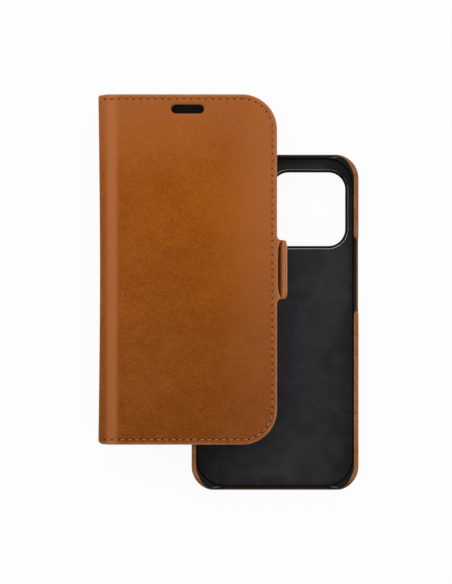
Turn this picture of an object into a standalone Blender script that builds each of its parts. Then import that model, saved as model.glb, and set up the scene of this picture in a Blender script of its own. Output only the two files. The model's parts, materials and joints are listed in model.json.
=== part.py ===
"""Phone wallet case: a folio wallet with a detachable phone tray that docks inside it on magnets.

The wallet lies on its back cover with its front cover shut, and the tray is slid part of the way
out from between the covers. Sizes are in millimetres and MM turns them into Blender's metres.
Each moving body hangs from an empty that sits on its joint: the shapes of a body are drawn from
that empty, so a cover's outer face is its zero of height.
"""

import math

import bmesh
import bpy

MM = 0.001

# The phone that the tray is made for.
PHONE_WIDTH = 71.5
PHONE_LENGTH = 149.6
PHONE_DEPTH = 8.3
PHONE_CORNER = 12.6

# Gaps between pieces.
PHONE_FIT = 0.1
GLUE = 0.1
SLIDE_GAP = 0.3
HINGE_GAP = 0.3
INLAY_GAP = 0.15

# Sheet stock.
LEATHER = 1.0
BOARD = 1.0
LINING = 0.4
POCKET_LEATHER = 0.45
TRAY_LEATHER = 0.6
STRAP_LEATHER = 0.6
STRAP_BOARD = 0.4

# Tray.
CORE_SIDE_WALL = 1.4
CORE_END_WALL = 0.8
CORE_FLOOR = 1.0
TRAY_CORNER = 11.0
TRAY_BOTTOM_ROUND = 2.0
RIM_ROUND = 0.45
RIM_PROUD = 0.6
END_WALL_HEIGHT = 3.0
END_LOW_HALF = 28.5
BUTTON_WALL_HEIGHT = 2.2
POWER_NOTCH_Y = 21.5
POWER_NOTCH_LENGTH = 33.2
VOLUME_NOTCH_Y = 30.0
VOLUME_NOTCH_LENGTH = 44.0
NOTCH_RAMP = 3.0
CAMERA_SIZE = 36.0
CAMERA_CORNER = 9.0
CAMERA_FROM_SIDE = 4.6
CAMERA_FROM_END = 6.8
CAMERA_RING_WIDTH = 1.2
COVER_WINDOW_MARGIN = 1.0
DOCK_PLATE_WIDTH = 44.0
DOCK_PLATE_LENGTH = 16.0
DOCK_PLATE = 0.4
DOCK_MAGNET = 12.0
DOCK_MAGNET_SPREAD = PHONE_WIDTH * 0.364
DOCK_UPPER_Y = 10.0
DOCK_LOWER_Y = -48.0

# Covers and spine.
END_MARGIN = 3.0
FORE_MARGIN = 1.3
SPINE_MARGIN = 1.3
SPINE_ROUND = 3.2
FORE_CORNER = 16.0
SPINE_CORNER = 1.0
EDGE_ROUND = 0.35
TURNED_EDGE = 1.0
HINGE_STRIP = 8.8
SPEAKER_LENGTH = 14.9
SPEAKER_WIDTH = 4.1
SPEAKER_FROM_TOP = 6.7
POCKET_BELOW_SPEAKER = 3.0
CASH_MOUTH = 12.0
CARD_MOUTH = 26.0
CARD_STEP = 8.5
CARD_POCKETS = 3

# Strap.
STRAP_WIDTH = 26.7
STRAP_FLARE = 2.0
STRAP_REACH = 4.6
STRAP_ROOT = 2.05
STRAP_SCALLOP = 1.75
SCALLOP_SQUARENESS = 5.0
STRAP_TAB = 28.0
STRAP_TIP_CORNER = 7.0
STRAP_MAGNET_WIDTH = 9.0
STRAP_MAGNET_LENGTH = 16.0
STRAP_MAGNET_FROM_TIP = 5.0
CATCH_FROM_EDGE = 8.0

# How far the tray has been slid out of its dock.
OUT_SIDEWAYS = 38.4
OUT_DOWNWARDS = 24.0

# What follows from the sizes above.
COVER_STACK = LEATHER + GLUE + BOARD + GLUE + LINING
POCKET_STACK = (CARD_POCKETS + 1) * (GLUE + POCKET_LEATHER)
STRAP_THICKNESS = STRAP_LEATHER + GLUE + STRAP_BOARD + GLUE + LINING
SIDE_WALL = PHONE_FIT + CORE_SIDE_WALL + GLUE + TRAY_LEATHER
END_WALL = PHONE_FIT + CORE_END_WALL + GLUE + TRAY_LEATHER
TRAY_WIDTH = PHONE_WIDTH + 2 * SIDE_WALL
TRAY_LENGTH = PHONE_LENGTH + 2 * END_WALL
CORE_BOTTOM = TRAY_LEATHER + GLUE
CORE_TOP = CORE_BOTTOM + CORE_FLOOR
TRAY_BED = CORE_TOP + GLUE + LINING
TRAY_HEIGHT = TRAY_BED + PHONE_DEPTH + RIM_PROUD
TRAY_BASE = COVER_STACK + SLIDE_GAP
STRAP_BOTTOM = TRAY_BASE + TRAY_HEIGHT + SLIDE_GAP
WALLET_HEIGHT = STRAP_BOTTOM + STRAP_THICKNESS + SLIDE_GAP + POCKET_STACK + COVER_STACK
COVER_LENGTH = TRAY_LENGTH + 2 * END_MARGIN
COVER_WIDTH = COVER_STACK + SPINE_MARGIN + TRAY_WIDTH + FORE_MARGIN
PANEL_START = SPINE_ROUND + HINGE_GAP
DOCKED_X = COVER_STACK + SPINE_MARGIN + TRAY_WIDTH / 2
TRAY_X = DOCKED_X + OUT_SIDEWAYS
TRAY_Y = -OUT_DOWNWARDS
CAMERA_X = TRAY_WIDTH / 2 - CAMERA_FROM_SIDE - CAMERA_SIZE / 2
CAMERA_Y = TRAY_LENGTH / 2 - CAMERA_FROM_END - CAMERA_SIZE / 2
SPEAKER_Y = COVER_LENGTH / 2 - SPEAKER_FROM_TOP
STRAP_HINGE_X = COVER_WIDTH + STRAP_ROOT + HINGE_GAP / 2
RIGHT_END = max(TRAY_X + TRAY_WIDTH / 2, COVER_WIDTH + STRAP_REACH)
LOW_END = min(TRAY_Y - TRAY_LENGTH / 2, -COVER_LENGTH / 2)
HIGH_END = max(TRAY_Y + TRAY_LENGTH / 2, COVER_LENGTH / 2)

# How finely round shapes are drawn. A corner up to SMALL_CORNER gets the smaller number of steps.
ARC_STEPS = 12
SMALL_ARC_STEPS = 4
SMALL_CORNER = 2.0
RAMP_STEPS = 5


# Scene and materials.


def clear_scene():
    for obj in list(bpy.data.objects):
        bpy.data.objects.remove(obj, do_unlink=True)


def make_material(name, colour, roughness, metallic=0.0):
    material = bpy.data.materials.new(name)
    material.use_nodes = True
    shader = material.node_tree.nodes["Principled BSDF"]
    shader.inputs["Base Color"].default_value = (*colour, 1.0)
    shader.inputs["Roughness"].default_value = roughness
    shader.inputs["Metallic"].default_value = metallic
    return material


TAN = (0.32, 0.10, 0.022)
FINISHES = {
    "leather": (TAN, 0.45, 0.0),
    "pocket_leather": ((0.30, 0.095, 0.022), 0.5, 0.0),
    "strap_leather": ((0.33, 0.11, 0.028), 0.45, 0.0),
    "rim_leather": ((0.27, 0.10, 0.035), 0.45, 0.0),
    "board": ((0.22, 0.20, 0.17), 0.8, 0.0),
    "lining": ((0.045, 0.032, 0.026), 0.9, 0.0),
    "shell": ((0.012, 0.012, 0.013), 0.45, 0.0),
    "steel": ((0.45, 0.45, 0.46), 0.35, 1.0),
    "magnet": ((0.55, 0.55, 0.56), 0.25, 1.0),
}


def finish(obj, name, parent):
    """Names the object, hangs it on its body and gives it a material of its own."""
    obj.name = name
    obj.parent = parent
    finish_name = NODE_FINISH[name]
    obj.data.materials.append(make_material(name, *FINISHES[finish_name]))
    return obj


def body_empty(name, parent, x, y, z):
    """An empty on a joint's axis, x, y and z from its parent's."""
    empty = bpy.data.objects.new(name, None)
    bpy.context.scene.collection.objects.link(empty)
    empty.empty_display_size = 0.01
    empty.parent = parent
    empty.location = (x * MM, y * MM, z * MM)
    return empty


# Outlines, as lists of (x, y).


def arc(centre_x, centre_y, radius, start, end, steps):
    """Points along an arc between two angles in degrees, both ends included."""
    points = []
    for i in range(steps + 1):
        angle = math.radians(start + (end - start) * i / steps)
        points.append((centre_x + radius * math.cos(angle), centre_y + radius * math.sin(angle)))
    return points


def rounded_outline(x0, x1, y0, y1, left, right, right_edge=(), left_edge=()):
    """A rectangle, anticlockwise from its lower left, with one radius for each pair of corners.

    right_edge and left_edge are further points (x, y) along those two sides, from low to high.
    """
    left_steps = ARC_STEPS if left > SMALL_CORNER else SMALL_ARC_STEPS
    points = arc(x0 + left, y0 + left, left, 180, 270, left_steps)
    points += arc(x1 - right, y0 + right, right, 270, 360, ARC_STEPS)
    points += list(right_edge)
    points += arc(x1 - right, y1 - right, right, 0, 90, ARC_STEPS)
    points += arc(x0 + left, y1 - left, left, 90, 180, left_steps)
    points += reversed(left_edge)
    return points


def rounded_rectangle(centre_x, centre_y, width, length, corner):
    half_x = width / 2
    half_y = length / 2
    return rounded_outline(
        centre_x - half_x, centre_x + half_x, centre_y - half_y, centre_y + half_y, corner, corner
    )


def disc_outline(centre_x, centre_y, diameter):
    return arc(centre_x, centre_y, diameter / 2, 0, 360, 2 * ARC_STEPS)[:-1]


# Solids.


def mesh_object(bm):
    bmesh.ops.recalc_face_normals(bm, faces=bm.faces)
    mesh = bpy.data.meshes.new("mesh")
    bm.to_mesh(mesh)
    bm.free()
    mesh.shade_smooth()
    mesh.set_sharp_from_angle(angle=math.radians(35))
    obj = bpy.data.objects.new("piece", mesh)
    bpy.context.scene.collection.objects.link(obj)
    return obj


def loft(rings):
    """A closed solid through rings of (x, y, z), with a face over the first and the last."""
    bm = bmesh.new()
    rows = [[bm.verts.new((x * MM, y * MM, z * MM)) for x, y, z in ring] for ring in rings]
    for low, high in zip(rows, rows[1:]):
        for i in range(len(low)):
            before = i - 1
            bm.faces.new((low[before], low[i], high[i], high[before]))
    bm.faces.new(list(reversed(rows[0])))
    bm.faces.new(rows[-1])
    return mesh_object(bm)


def raised(outline, z):
    return [(x, y, z) for x, y in outline]


def prism(outline, z0, z1):
    return loft([raised(outline, z0), raised(outline, z1)])


def plate(outlines, z0, z1):
    """A flat sheet from z0 to z1: the first outline is its edge and the others are holes."""
    curve = bpy.data.curves.new("sheet", "CURVE")
    curve.dimensions = "2D"
    curve.fill_mode = "BOTH"
    curve.extrude = (z1 - z0) / 2 * MM
    for outline in outlines:
        spline = curve.splines.new("POLY")
        spline.points.add(len(outline) - 1)
        spline.use_cyclic_u = True
        for point, (x, y) in zip(spline.points, outline):
            point.co = (x * MM, y * MM, 0.0, 1.0)
    obj = bpy.data.objects.new("sheet", curve)
    bpy.context.scene.collection.objects.link(obj)
    obj.location.z = (z0 + z1) / 2 * MM
    return obj


def profile_along_y(profile, length):
    """A solid whose section (x, z) runs along Y, centred on Y = 0."""
    half = length / 2
    return loft([[(x, y, z) for x, z in profile] for y in (-half, half)])


def cut(obj, outline, z0, z1, parent):
    """Cuts a prism out of a solid. The cutter stays in the file as a hidden wire."""
    cutter = prism(outline, z0, z1)
    cutter.name = "cutter"
    cutter.parent = parent
    cutter.hide_render = True
    cutter.display_type = "WIRE"
    modifier = obj.modifiers.new("cut", "BOOLEAN")
    modifier.operation = "DIFFERENCE"
    modifier.object = cutter


# Covers.


def turned_panel(outer, inner, face, side):
    """A leather panel turned over at its edges, with a recess for the board and the lining.

    outer(inset) is the panel's outline, inner is the recess's. face is the height of its outer
    face, and side is 1 where that face looks up and -1 where it looks down.
    """
    lip = EDGE_ROUND / 3
    steps = (
        (EDGE_ROUND, 0.0),
        (lip, lip),
        (0.0, EDGE_ROUND),
        (0.0, COVER_STACK - EDGE_ROUND),
        (EDGE_ROUND, COVER_STACK),
    )
    rings = [raised(outer(inset), face - side * depth) for inset, depth in steps]
    rings.append(raised(inner, face - side * COVER_STACK))
    rings.append(raised(inner, face - side * LEATHER))
    return loft(rings)


def panel_outline(inset, right_edge=()):
    return rounded_outline(
        PANEL_START + inset,
        COVER_WIDTH - inset,
        -COVER_LENGTH / 2 + inset,
        COVER_LENGTH / 2 - inset,
        max(SPINE_CORNER - inset, SPINE_CORNER / 4),
        FORE_CORNER - inset,
        right_edge,
    )


def inlay_outline(start, gap):
    """The edge of a sheet that lies in a cover's recess and starts at x = start."""
    inset = TURNED_EDGE + gap
    return rounded_outline(
        start,
        COVER_WIDTH - inset,
        -COVER_LENGTH / 2 + inset,
        COVER_LENGTH / 2 - inset,
        SPINE_CORNER,
        FORE_CORNER - inset,
    )


def cover_window():
    """The camera's window in the back cover, where the docked tray's own window lies."""
    return rounded_rectangle(
        DOCKED_X + CAMERA_X,
        CAMERA_Y,
        CAMERA_SIZE + 2 * COVER_WINDOW_MARGIN,
        CAMERA_SIZE + 2 * COVER_WINDOW_MARGIN,
        CAMERA_CORNER + COVER_WINDOW_MARGIN,
    )


def speaker_slot():
    return rounded_rectangle(
        COVER_WIDTH / 2, SPEAKER_Y, SPEAKER_LENGTH, SPEAKER_WIDTH, SPEAKER_WIDTH / 2 - 0.001
    )


def dock_magnet_places():
    return [
        (DOCKED_X + side * DOCK_MAGNET_SPREAD / 2, y)
        for y in (DOCK_UPPER_Y, DOCK_LOWER_Y)
        for side in (-1, 1)
    ]


def catch_outline(gap):
    """The steel catch for the strap's magnet, grown by gap for its window in the board."""
    return rounded_rectangle(
        COVER_WIDTH - CATCH_FROM_EDGE - STRAP_MAGNET_WIDTH / 2,
        0.0,
        STRAP_MAGNET_WIDTH + 2 * gap,
        STRAP_MAGNET_LENGTH + 2 * gap,
        SPINE_CORNER,
    )


def make_back_cover(body):
    window = cover_window()
    recess = inlay_outline(PANEL_START + TURNED_EDGE, 0.0)
    leather = turned_panel(panel_outline, recess, 0.0, -1)
    cut(leather, window, -LEATHER, 2 * COVER_STACK, body)
    finish(leather, "back_outer_leather", body)

    board_z = LEATHER + GLUE
    places = dock_magnet_places()
    pockets = [disc_outline(x, y, DOCK_MAGNET + 2 * INLAY_GAP) for x, y in places]
    edge = inlay_outline(HINGE_STRIP, INLAY_GAP)
    board = plate([edge, window, catch_outline(INLAY_GAP), *pockets], board_z, board_z + BOARD)
    finish(board, "back_board", body)
    for number, (x, y) in enumerate(places, 1):
        magnet = prism(disc_outline(x, y, DOCK_MAGNET), board_z, board_z + BOARD)
        finish(magnet, f"dock_magnet_{number}", body)
    finish(prism(catch_outline(0.0), board_z, board_z + BOARD), "strap_catch_plate", body)

    lining_z = board_z + BOARD + GLUE
    edge = inlay_outline(PANEL_START + TURNED_EDGE + INLAY_GAP, INLAY_GAP)
    finish(plate([edge, window], lining_z, lining_z + LINING), "back_lining", body)


def make_spine(body):
    """The spine's leather bends over towards both covers. Its empty is at its lower outer corner."""
    top = WALLET_HEIGHT
    inner = SPINE_ROUND - LEATHER
    outside = arc(SPINE_ROUND, SPINE_ROUND, SPINE_ROUND, 270, 180, ARC_STEPS)
    outside += arc(SPINE_ROUND, top - SPINE_ROUND, SPINE_ROUND, 180, 90, ARC_STEPS)
    inside = arc(SPINE_ROUND, top - SPINE_ROUND, inner, 90, 180, ARC_STEPS)
    inside += arc(SPINE_ROUND, SPINE_ROUND, inner, 180, 270, ARC_STEPS)
    finish(profile_along_y(outside + inside, COVER_LENGTH), "spine_leather", body)

    low = SPINE_ROUND
    high = top - SPINE_ROUND
    board_x = LEATHER + GLUE
    lining_x = board_x + BOARD + GLUE
    board = [(board_x, low), (board_x + BOARD, low), (board_x + BOARD, high), (board_x, high)]
    length = COVER_LENGTH - 2 * TURNED_EDGE
    finish(profile_along_y(board, length), "spine_board", body)
    sheet = [(lining_x, low), (lining_x + LINING, low), (lining_x + LINING, high), (lining_x, high)]
    finish(profile_along_y(sheet, length), "spine_lining", body)


def strap_root_edge(inset):
    """The fore edge's points where the outer leather runs out into the root of the strap.

    It flares out at both ends of the strap, with a scallop between them over the strap's crease.
    """
    half = STRAP_WIDTH / 2
    edge = COVER_WIDTH - inset
    flare = []
    for i in range(SMALL_ARC_STEPS + 1):
        angle = math.pi / 2 * i / SMALL_ARC_STEPS
        out = STRAP_ROOT * (1 - math.cos(angle))
        flare.append((edge + out, half + STRAP_FLARE * (1 - math.sin(angle))))
    points = [(x, -y) for x, y in flare]
    for i in range(1, ARC_STEPS):
        share = -math.cos(math.pi * i / ARC_STEPS)
        scallop = STRAP_SCALLOP * (1 - abs(share) ** SCALLOP_SQUARENESS)
        points.append((edge + STRAP_ROOT - scallop, half * share))
    return points + flare[::-1]


def straight_root_edge(inset):
    """As many points as strap_root_edge has, along the straight fore edge."""
    return [(COVER_WIDTH - inset, y) for _, y in strap_root_edge(inset)]


def front_panel_rings():
    """The outer leather's rings: a tongue for the strap, and below it the turned edge alone."""
    lip = EDGE_ROUND / 3
    tongue = ((EDGE_ROUND, 0.0), (lip, lip), (0.0, EDGE_ROUND), (0.0, LEATHER - lip))
    edge = ((0.0, LEATHER), (0.0, COVER_STACK - EDGE_ROUND), (EDGE_ROUND, COVER_STACK))
    rings = [raised(panel_outline(inset, strap_root_edge(inset)), -z) for inset, z in tongue]
    rings += [raised(panel_outline(inset, straight_root_edge(inset)), -z) for inset, z in edge]
    return rings


def make_front_cover(body):
    """The front cover, whose empty is at the spine's upper outer corner."""
    slot = speaker_slot()
    rings = front_panel_rings()
    inset = TURNED_EDGE
    recess = rounded_outline(
        PANEL_START + inset,
        COVER_WIDTH - inset,
        -COVER_LENGTH / 2 + inset,
        COVER_LENGTH / 2 - inset,
        SPINE_CORNER,
        FORE_CORNER - inset,
        straight_root_edge(inset),
    )
    leather = loft(rings + [raised(recess, -COVER_STACK), raised(recess, -LEATHER)])
    cut(leather, slot, -2 * COVER_STACK, COVER_STACK, body)
    finish(leather, "front_outer_leather", body)

    board_z = -LEATHER - GLUE
    board = plate([inlay_outline(HINGE_STRIP, INLAY_GAP), slot], board_z - BOARD, board_z)
    finish(board, "front_board", body)

    lining_z = board_z - BOARD - GLUE
    edge = inlay_outline(PANEL_START + TURNED_EDGE + INLAY_GAP, INLAY_GAP)
    finish(plate([edge, slot], lining_z - LINING, lining_z), "front_lining", body)
    make_pockets(body)


def make_pockets(body):
    """Sheets stacked on the lining, each with its mouth a step further from the spine."""
    top = SPEAKER_Y - SPEAKER_WIDTH / 2 - POCKET_BELOW_SPEAKER
    inset = TURNED_EDGE + INLAY_GAP
    mouths = [CASH_MOUTH] + [CARD_MOUTH + CARD_STEP * i for i in range(CARD_POCKETS)]
    names = ["cash_pocket"] + [f"card_pocket_{i + 1}" for i in range(CARD_POCKETS)]
    for level, (mouth, name) in enumerate(zip(mouths, names)):
        z = -COVER_STACK - GLUE - level * (POCKET_LEATHER + GLUE)
        corner = FORE_CORNER - inset
        lower_right = arc(
            COVER_WIDTH - inset - corner, -COVER_LENGTH / 2 + inset + corner, corner, 270, 360, ARC_STEPS
        )
        outline = [(mouth, -COVER_LENGTH / 2 + inset), *lower_right]
        outline += [(COVER_WIDTH - inset, top), (mouth, top)]
        finish(plate([outline], z - POCKET_LEATHER, z), name, body)


# Strap.


def strap_path():
    """(x, z, outward x, outward z, run) along the strap's outer face, from its hinge to its tip.

    The strap leaves the cover's outer face, turns down in a half circle and runs back under
    the cover. run is the length from the start, and the outward direction is the face's normal.
    """
    radius = (WALLET_HEIGHT - STRAP_BOTTOM) / 2
    centre_x = COVER_WIDTH + STRAP_REACH - radius - STRAP_HINGE_X
    start_x = HINGE_GAP / 2
    first = math.asin((start_x - centre_x) / radius)
    path = []
    bend_steps = 2 * ARC_STEPS
    for i in range(bend_steps + 1):
        angle = math.pi / 2 - first - (math.pi - first) * i / bend_steps
        out_x = math.cos(angle)
        out_z = math.sin(angle)
        run = radius * (math.pi / 2 - first - angle)
        path.append((centre_x + radius * out_x, -radius + radius * out_z, out_x, out_z, run))
    bend_run = path[-1][4]
    straight = STRAP_TAB - STRAP_TIP_CORNER
    path.append((centre_x - straight, -2 * radius, 0.0, -1.0, bend_run + straight))
    for i in range(1, ARC_STEPS + 1):
        along = straight + STRAP_TIP_CORNER * math.sin(math.pi / 2 * i / ARC_STEPS)
        path.append((centre_x - along, -2 * radius, 0.0, -1.0, bend_run + along))
    return path


def strap_half_width(run, end, margin):
    """Half the strap's width at a run, less a margin, with a quarter round at the tip."""
    half = STRAP_WIDTH / 2 - margin
    corner = STRAP_TIP_CORNER
    past = run - (end - corner)
    if past <= 0:
        return half
    return half - corner + math.sqrt(max(corner**2 - past**2, 0.0))


def strap_layer(outer_depth, inner_depth, margin, skip):
    """A layer of the strap between two depths below its outer face, without its first points."""
    path = strap_path()[skip:]
    end = path[-1][4]
    rings = []
    for x, z, out_x, out_z, run in path:
        half = strap_half_width(run, end, margin)
        ring = []
        for depth, y in (
            (outer_depth, -half),
            (outer_depth, half),
            (inner_depth, half),
            (inner_depth, -half),
        ):
            ring.append((x - out_x * depth, y, z - out_z * depth))
        rings.append(ring)
    return loft(rings)


def make_strap(body):
    """The closing strap, whose empty is on the crease where it hinges on the front cover."""
    board_depth = STRAP_LEATHER + GLUE
    lining_depth = board_depth + STRAP_BOARD + GLUE
    bend_points = ARC_STEPS
    finish(strap_layer(0.0, STRAP_LEATHER, 0.0, 0), "strap_leather", body)
    lining = strap_layer(lining_depth, STRAP_THICKNESS, 0.0, SMALL_ARC_STEPS)
    finish(lining, "strap_lining", body)

    path = strap_path()
    tip_x = path[-1][0]
    bend_x = path[2 * bend_points][0]
    low = path[-1][1] + board_depth
    centre_x = tip_x + STRAP_MAGNET_FROM_TIP + STRAP_MAGNET_WIDTH / 2
    margin = TURNED_EDGE
    board_edge = rounded_outline(
        tip_x + margin,
        bend_x,
        -STRAP_WIDTH / 2 + margin,
        STRAP_WIDTH / 2 - margin,
        STRAP_TIP_CORNER - margin,
        SPINE_CORNER,
    )
    gap = 2 * INLAY_GAP
    window = rounded_rectangle(
        centre_x, 0.0, STRAP_MAGNET_WIDTH + gap, STRAP_MAGNET_LENGTH + gap, SPINE_CORNER
    )
    finish(plate([board_edge, window], low, low + STRAP_BOARD), "strap_board", body)
    outline = rounded_rectangle(centre_x, 0.0, STRAP_MAGNET_WIDTH, STRAP_MAGNET_LENGTH, SPINE_CORNER)
    finish(prism(outline, low, low + STRAP_BOARD), "strap_magnet", body)


# Tray.


def smooth(value):
    """0 below 0 and 1 above 1, with a soft step between."""
    value = min(max(value, 0.0), 1.0)
    return value * value * (3 - 2 * value)


def dip(position, centre, half):
    """1 inside a notch, 0 outside it, and a ramp over NOTCH_RAMP at each of its ends."""
    return smooth((half + NOTCH_RAMP / 2 - abs(position - centre)) / NOTCH_RAMP)


def rim_height(x, y):
    """The height of the rim at a point of the tray's outline: low at both ends and at the buttons."""
    low_end = TRAY_BED + END_WALL_HEIGHT
    low_side = TRAY_BED + BUTTON_WALL_HEIGHT
    height = TRAY_HEIGHT
    if abs(y) > TRAY_LENGTH / 2 - TRAY_CORNER:
        return height - (height - low_end) * dip(x, 0.0, END_LOW_HALF)
    if x > 0:
        return height - (height - low_side) * dip(y, POWER_NOTCH_Y, POWER_NOTCH_LENGTH / 2)
    return height - (height - low_side) * dip(y, VOLUME_NOTCH_Y, VOLUME_NOTCH_LENGTH / 2)


def notch_stations(centre, length):
    """The y of each point along a side: a few on each ramp of its notch, from low to high."""
    stations = []
    for end in (-1, 1):
        middle = centre + end * length / 2
        for i in range(RAMP_STEPS + 1):
            stations.append(middle + NOTCH_RAMP * (i / RAMP_STEPS - 0.5))
    return stations


def tray_outline(inset_x, inset_y, corner):
    """The tray's plan, drawn in by an amount on its sides and another on its ends."""
    half_x = TRAY_WIDTH / 2 - inset_x
    half_y = TRAY_LENGTH / 2 - inset_y
    right = [(half_x, y) for y in notch_stations(POWER_NOTCH_Y, POWER_NOTCH_LENGTH)]
    left = [(-half_x, y) for y in notch_stations(VOLUME_NOTCH_Y, VOLUME_NOTCH_LENGTH)]
    return rounded_outline(-half_x, half_x, -half_y, half_y, corner, corner, right, left)


def tray_inset(inset):
    return tray_outline(inset, inset, TRAY_CORNER - inset)


def phone_outline(gap):
    """The plan of the space for the phone, drawn in by gap."""
    side = SIDE_WALL - PHONE_FIT + gap
    end = END_WALL - PHONE_FIT + gap
    return tray_outline(side, end, PHONE_CORNER + PHONE_FIT - gap)


def bottom_rings(inset, z):
    """The rounded lower edge of a tray layer, from its flat bottom up to its side."""
    rings = []
    for i in range(SMALL_ARC_STEPS + 1):
        angle = math.pi / 2 * i / SMALL_ARC_STEPS
        drawn_in = inset + TRAY_BOTTOM_ROUND * (1 - math.sin(angle))
        rise = TRAY_BOTTOM_ROUND * (1 - math.cos(angle))
        rings.append(raised(tray_inset(drawn_in), z + rise))
    return rings


def rim_rings():
    """The rounded top edge of the rim, from the tray's outside up to its top."""
    rings = []
    stations = tray_inset(0.0)
    for i in range(SMALL_ARC_STEPS + 1):
        angle = math.pi / 2 * i / SMALL_ARC_STEPS
        plan = tray_inset(RIM_ROUND * (1 - math.cos(angle)))
        drop = RIM_ROUND * (1 - math.sin(angle))
        rings.append([(x, y, rim_height(*at) - drop) for (x, y), at in zip(plan, stations)])
    return rings


def rim_ring(plan, drop):
    """A ring on the given plan that follows the rim, drop below it."""
    stations = tray_inset(0.0)
    return [(x, y, rim_height(*at) - drop) for (x, y), at in zip(plan, stations)]


def make_tray(body):
    """The phone tray, whose empty is at the middle of its underside."""
    space = phone_outline(0.0)
    rings = bottom_rings(0.0, 0.0) + rim_rings()
    rings.append(rim_ring(space, 0.0))
    rings.append(rim_ring(space, TRAY_LEATHER))
    rings.append(rim_ring(tray_inset(TRAY_LEATHER), TRAY_LEATHER))
    rings += reversed(bottom_rings(TRAY_LEATHER, TRAY_LEATHER))
    leather = loft(rings)

    rings = bottom_rings(CORE_BOTTOM, CORE_BOTTOM)
    rings.append(rim_ring(tray_inset(CORE_BOTTOM), CORE_BOTTOM))
    rings.append(rim_ring(space, CORE_BOTTOM))
    rings.append(raised(space, CORE_TOP))
    shell = loft(rings)

    window = rounded_rectangle(
        CAMERA_X, CAMERA_Y, CAMERA_SIZE + 2 * GLUE, CAMERA_SIZE + 2 * GLUE, CAMERA_CORNER + GLUE
    )
    for layer in (leather, shell):
        cut(layer, window, -TRAY_HEIGHT, TRAY_HEIGHT, body)
    for name, y in (("dock_plate_upper", DOCK_UPPER_Y), ("dock_plate_lower", DOCK_LOWER_Y)):
        gap = 2 * INLAY_GAP
        bed = rounded_rectangle(
            0.0, y, DOCK_PLATE_WIDTH + gap, DOCK_PLATE_LENGTH + gap, SPINE_CORNER + INLAY_GAP
        )
        cut(shell, bed, 0.0, CORE_BOTTOM + DOCK_PLATE + GLUE, body)
        outline = rounded_rectangle(0.0, y, DOCK_PLATE_WIDTH, DOCK_PLATE_LENGTH, SPINE_CORNER)
        finish(prism(outline, CORE_BOTTOM, CORE_BOTTOM + DOCK_PLATE), name, body)
    finish(leather, "tray_leather", body)
    finish(shell, "tray_shell", body)

    bed = plate([phone_outline(INLAY_GAP), window], CORE_TOP + GLUE, TRAY_BED)
    finish(bed, "tray_lining", body)
    opening = CAMERA_SIZE - 2 * CAMERA_RING_WIDTH
    ring_edge = rounded_rectangle(CAMERA_X, CAMERA_Y, CAMERA_SIZE, CAMERA_SIZE, CAMERA_CORNER)
    ring_hole = rounded_rectangle(
        CAMERA_X, CAMERA_Y, opening, opening, CAMERA_CORNER - CAMERA_RING_WIDTH
    )
    finish(plate([ring_edge, ring_hole], 0.0, TRAY_BED), "camera_ring", body)


NODE_FINISH = {
    "back_outer_leather": "leather",
    "back_board": "board",
    "back_lining": "lining",
    "strap_catch_plate": "steel",
    "spine_leather": "leather",
    "spine_board": "board",
    "spine_lining": "lining",
    "front_outer_leather": "leather",
    "front_board": "board",
    "front_lining": "lining",
    "cash_pocket": "pocket_leather",
    "strap_leather": "strap_leather",
    "strap_lining": "lining",
    "strap_board": "board",
    "strap_magnet": "magnet",
    "tray_leather": "rim_leather",
    "tray_shell": "shell",
    "tray_lining": "lining",
    "camera_ring": "shell",
    "dock_plate_upper": "steel",
    "dock_plate_lower": "steel",
}
NODE_FINISH.update({f"dock_magnet_{i}": "magnet" for i in range(1, 5)})
NODE_FINISH.update({f"card_pocket_{i + 1}": "pocket_leather" for i in range(CARD_POCKETS)})


def main():
    clear_scene()
    back = body_empty("back_cover", None, -RIGHT_END / 2, -(LOW_END + HIGH_END) / 2, 0.0)
    spine = body_empty("spine_hinge", back, 0.0, 0.0, 0.0)
    front = body_empty("cover_hinge", spine, 0.0, 0.0, WALLET_HEIGHT)
    strap = body_empty("strap_hinge", front, STRAP_HINGE_X, 0.0, 0.0)
    tray = body_empty("tray_slide", back, TRAY_X, TRAY_Y, TRAY_BASE)
    make_back_cover(back)
    make_spine(spine)
    make_front_cover(front)
    make_strap(strap)
    make_tray(tray)


main()
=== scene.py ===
"""The looks of the phone wallet case: leather, stitching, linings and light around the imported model.

Lengths are in millimetres in the part's frame, and MM turns them into Blender's metres. A cover's
leather is drawn flat, as (u, v, depth): u runs from half way up the spine, round the shoulder and
across the cover, v runs along the spine, and depth goes inwards from the outer face.
"""

import json
import math
import random

import bmesh
import bpy
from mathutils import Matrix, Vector


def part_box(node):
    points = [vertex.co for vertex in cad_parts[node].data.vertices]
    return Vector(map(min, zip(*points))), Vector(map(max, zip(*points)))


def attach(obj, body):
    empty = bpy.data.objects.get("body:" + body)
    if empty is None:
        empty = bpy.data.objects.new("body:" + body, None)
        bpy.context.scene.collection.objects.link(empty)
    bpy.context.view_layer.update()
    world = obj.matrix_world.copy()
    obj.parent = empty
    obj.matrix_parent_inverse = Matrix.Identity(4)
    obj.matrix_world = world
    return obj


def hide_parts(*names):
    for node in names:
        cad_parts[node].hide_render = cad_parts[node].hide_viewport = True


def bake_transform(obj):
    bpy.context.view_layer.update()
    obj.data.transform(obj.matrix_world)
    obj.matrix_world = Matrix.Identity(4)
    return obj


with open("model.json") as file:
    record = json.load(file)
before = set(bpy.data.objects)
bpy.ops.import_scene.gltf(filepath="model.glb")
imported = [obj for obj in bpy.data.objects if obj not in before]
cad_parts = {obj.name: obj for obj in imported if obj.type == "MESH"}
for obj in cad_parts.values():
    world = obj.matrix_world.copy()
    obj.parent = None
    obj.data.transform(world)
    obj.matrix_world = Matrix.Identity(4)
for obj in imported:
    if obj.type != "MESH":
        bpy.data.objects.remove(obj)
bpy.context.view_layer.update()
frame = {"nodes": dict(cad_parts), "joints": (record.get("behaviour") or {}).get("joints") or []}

MM = 0.001


def box_mm(node):
    low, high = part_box(node)
    return low / MM, high / MM


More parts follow.
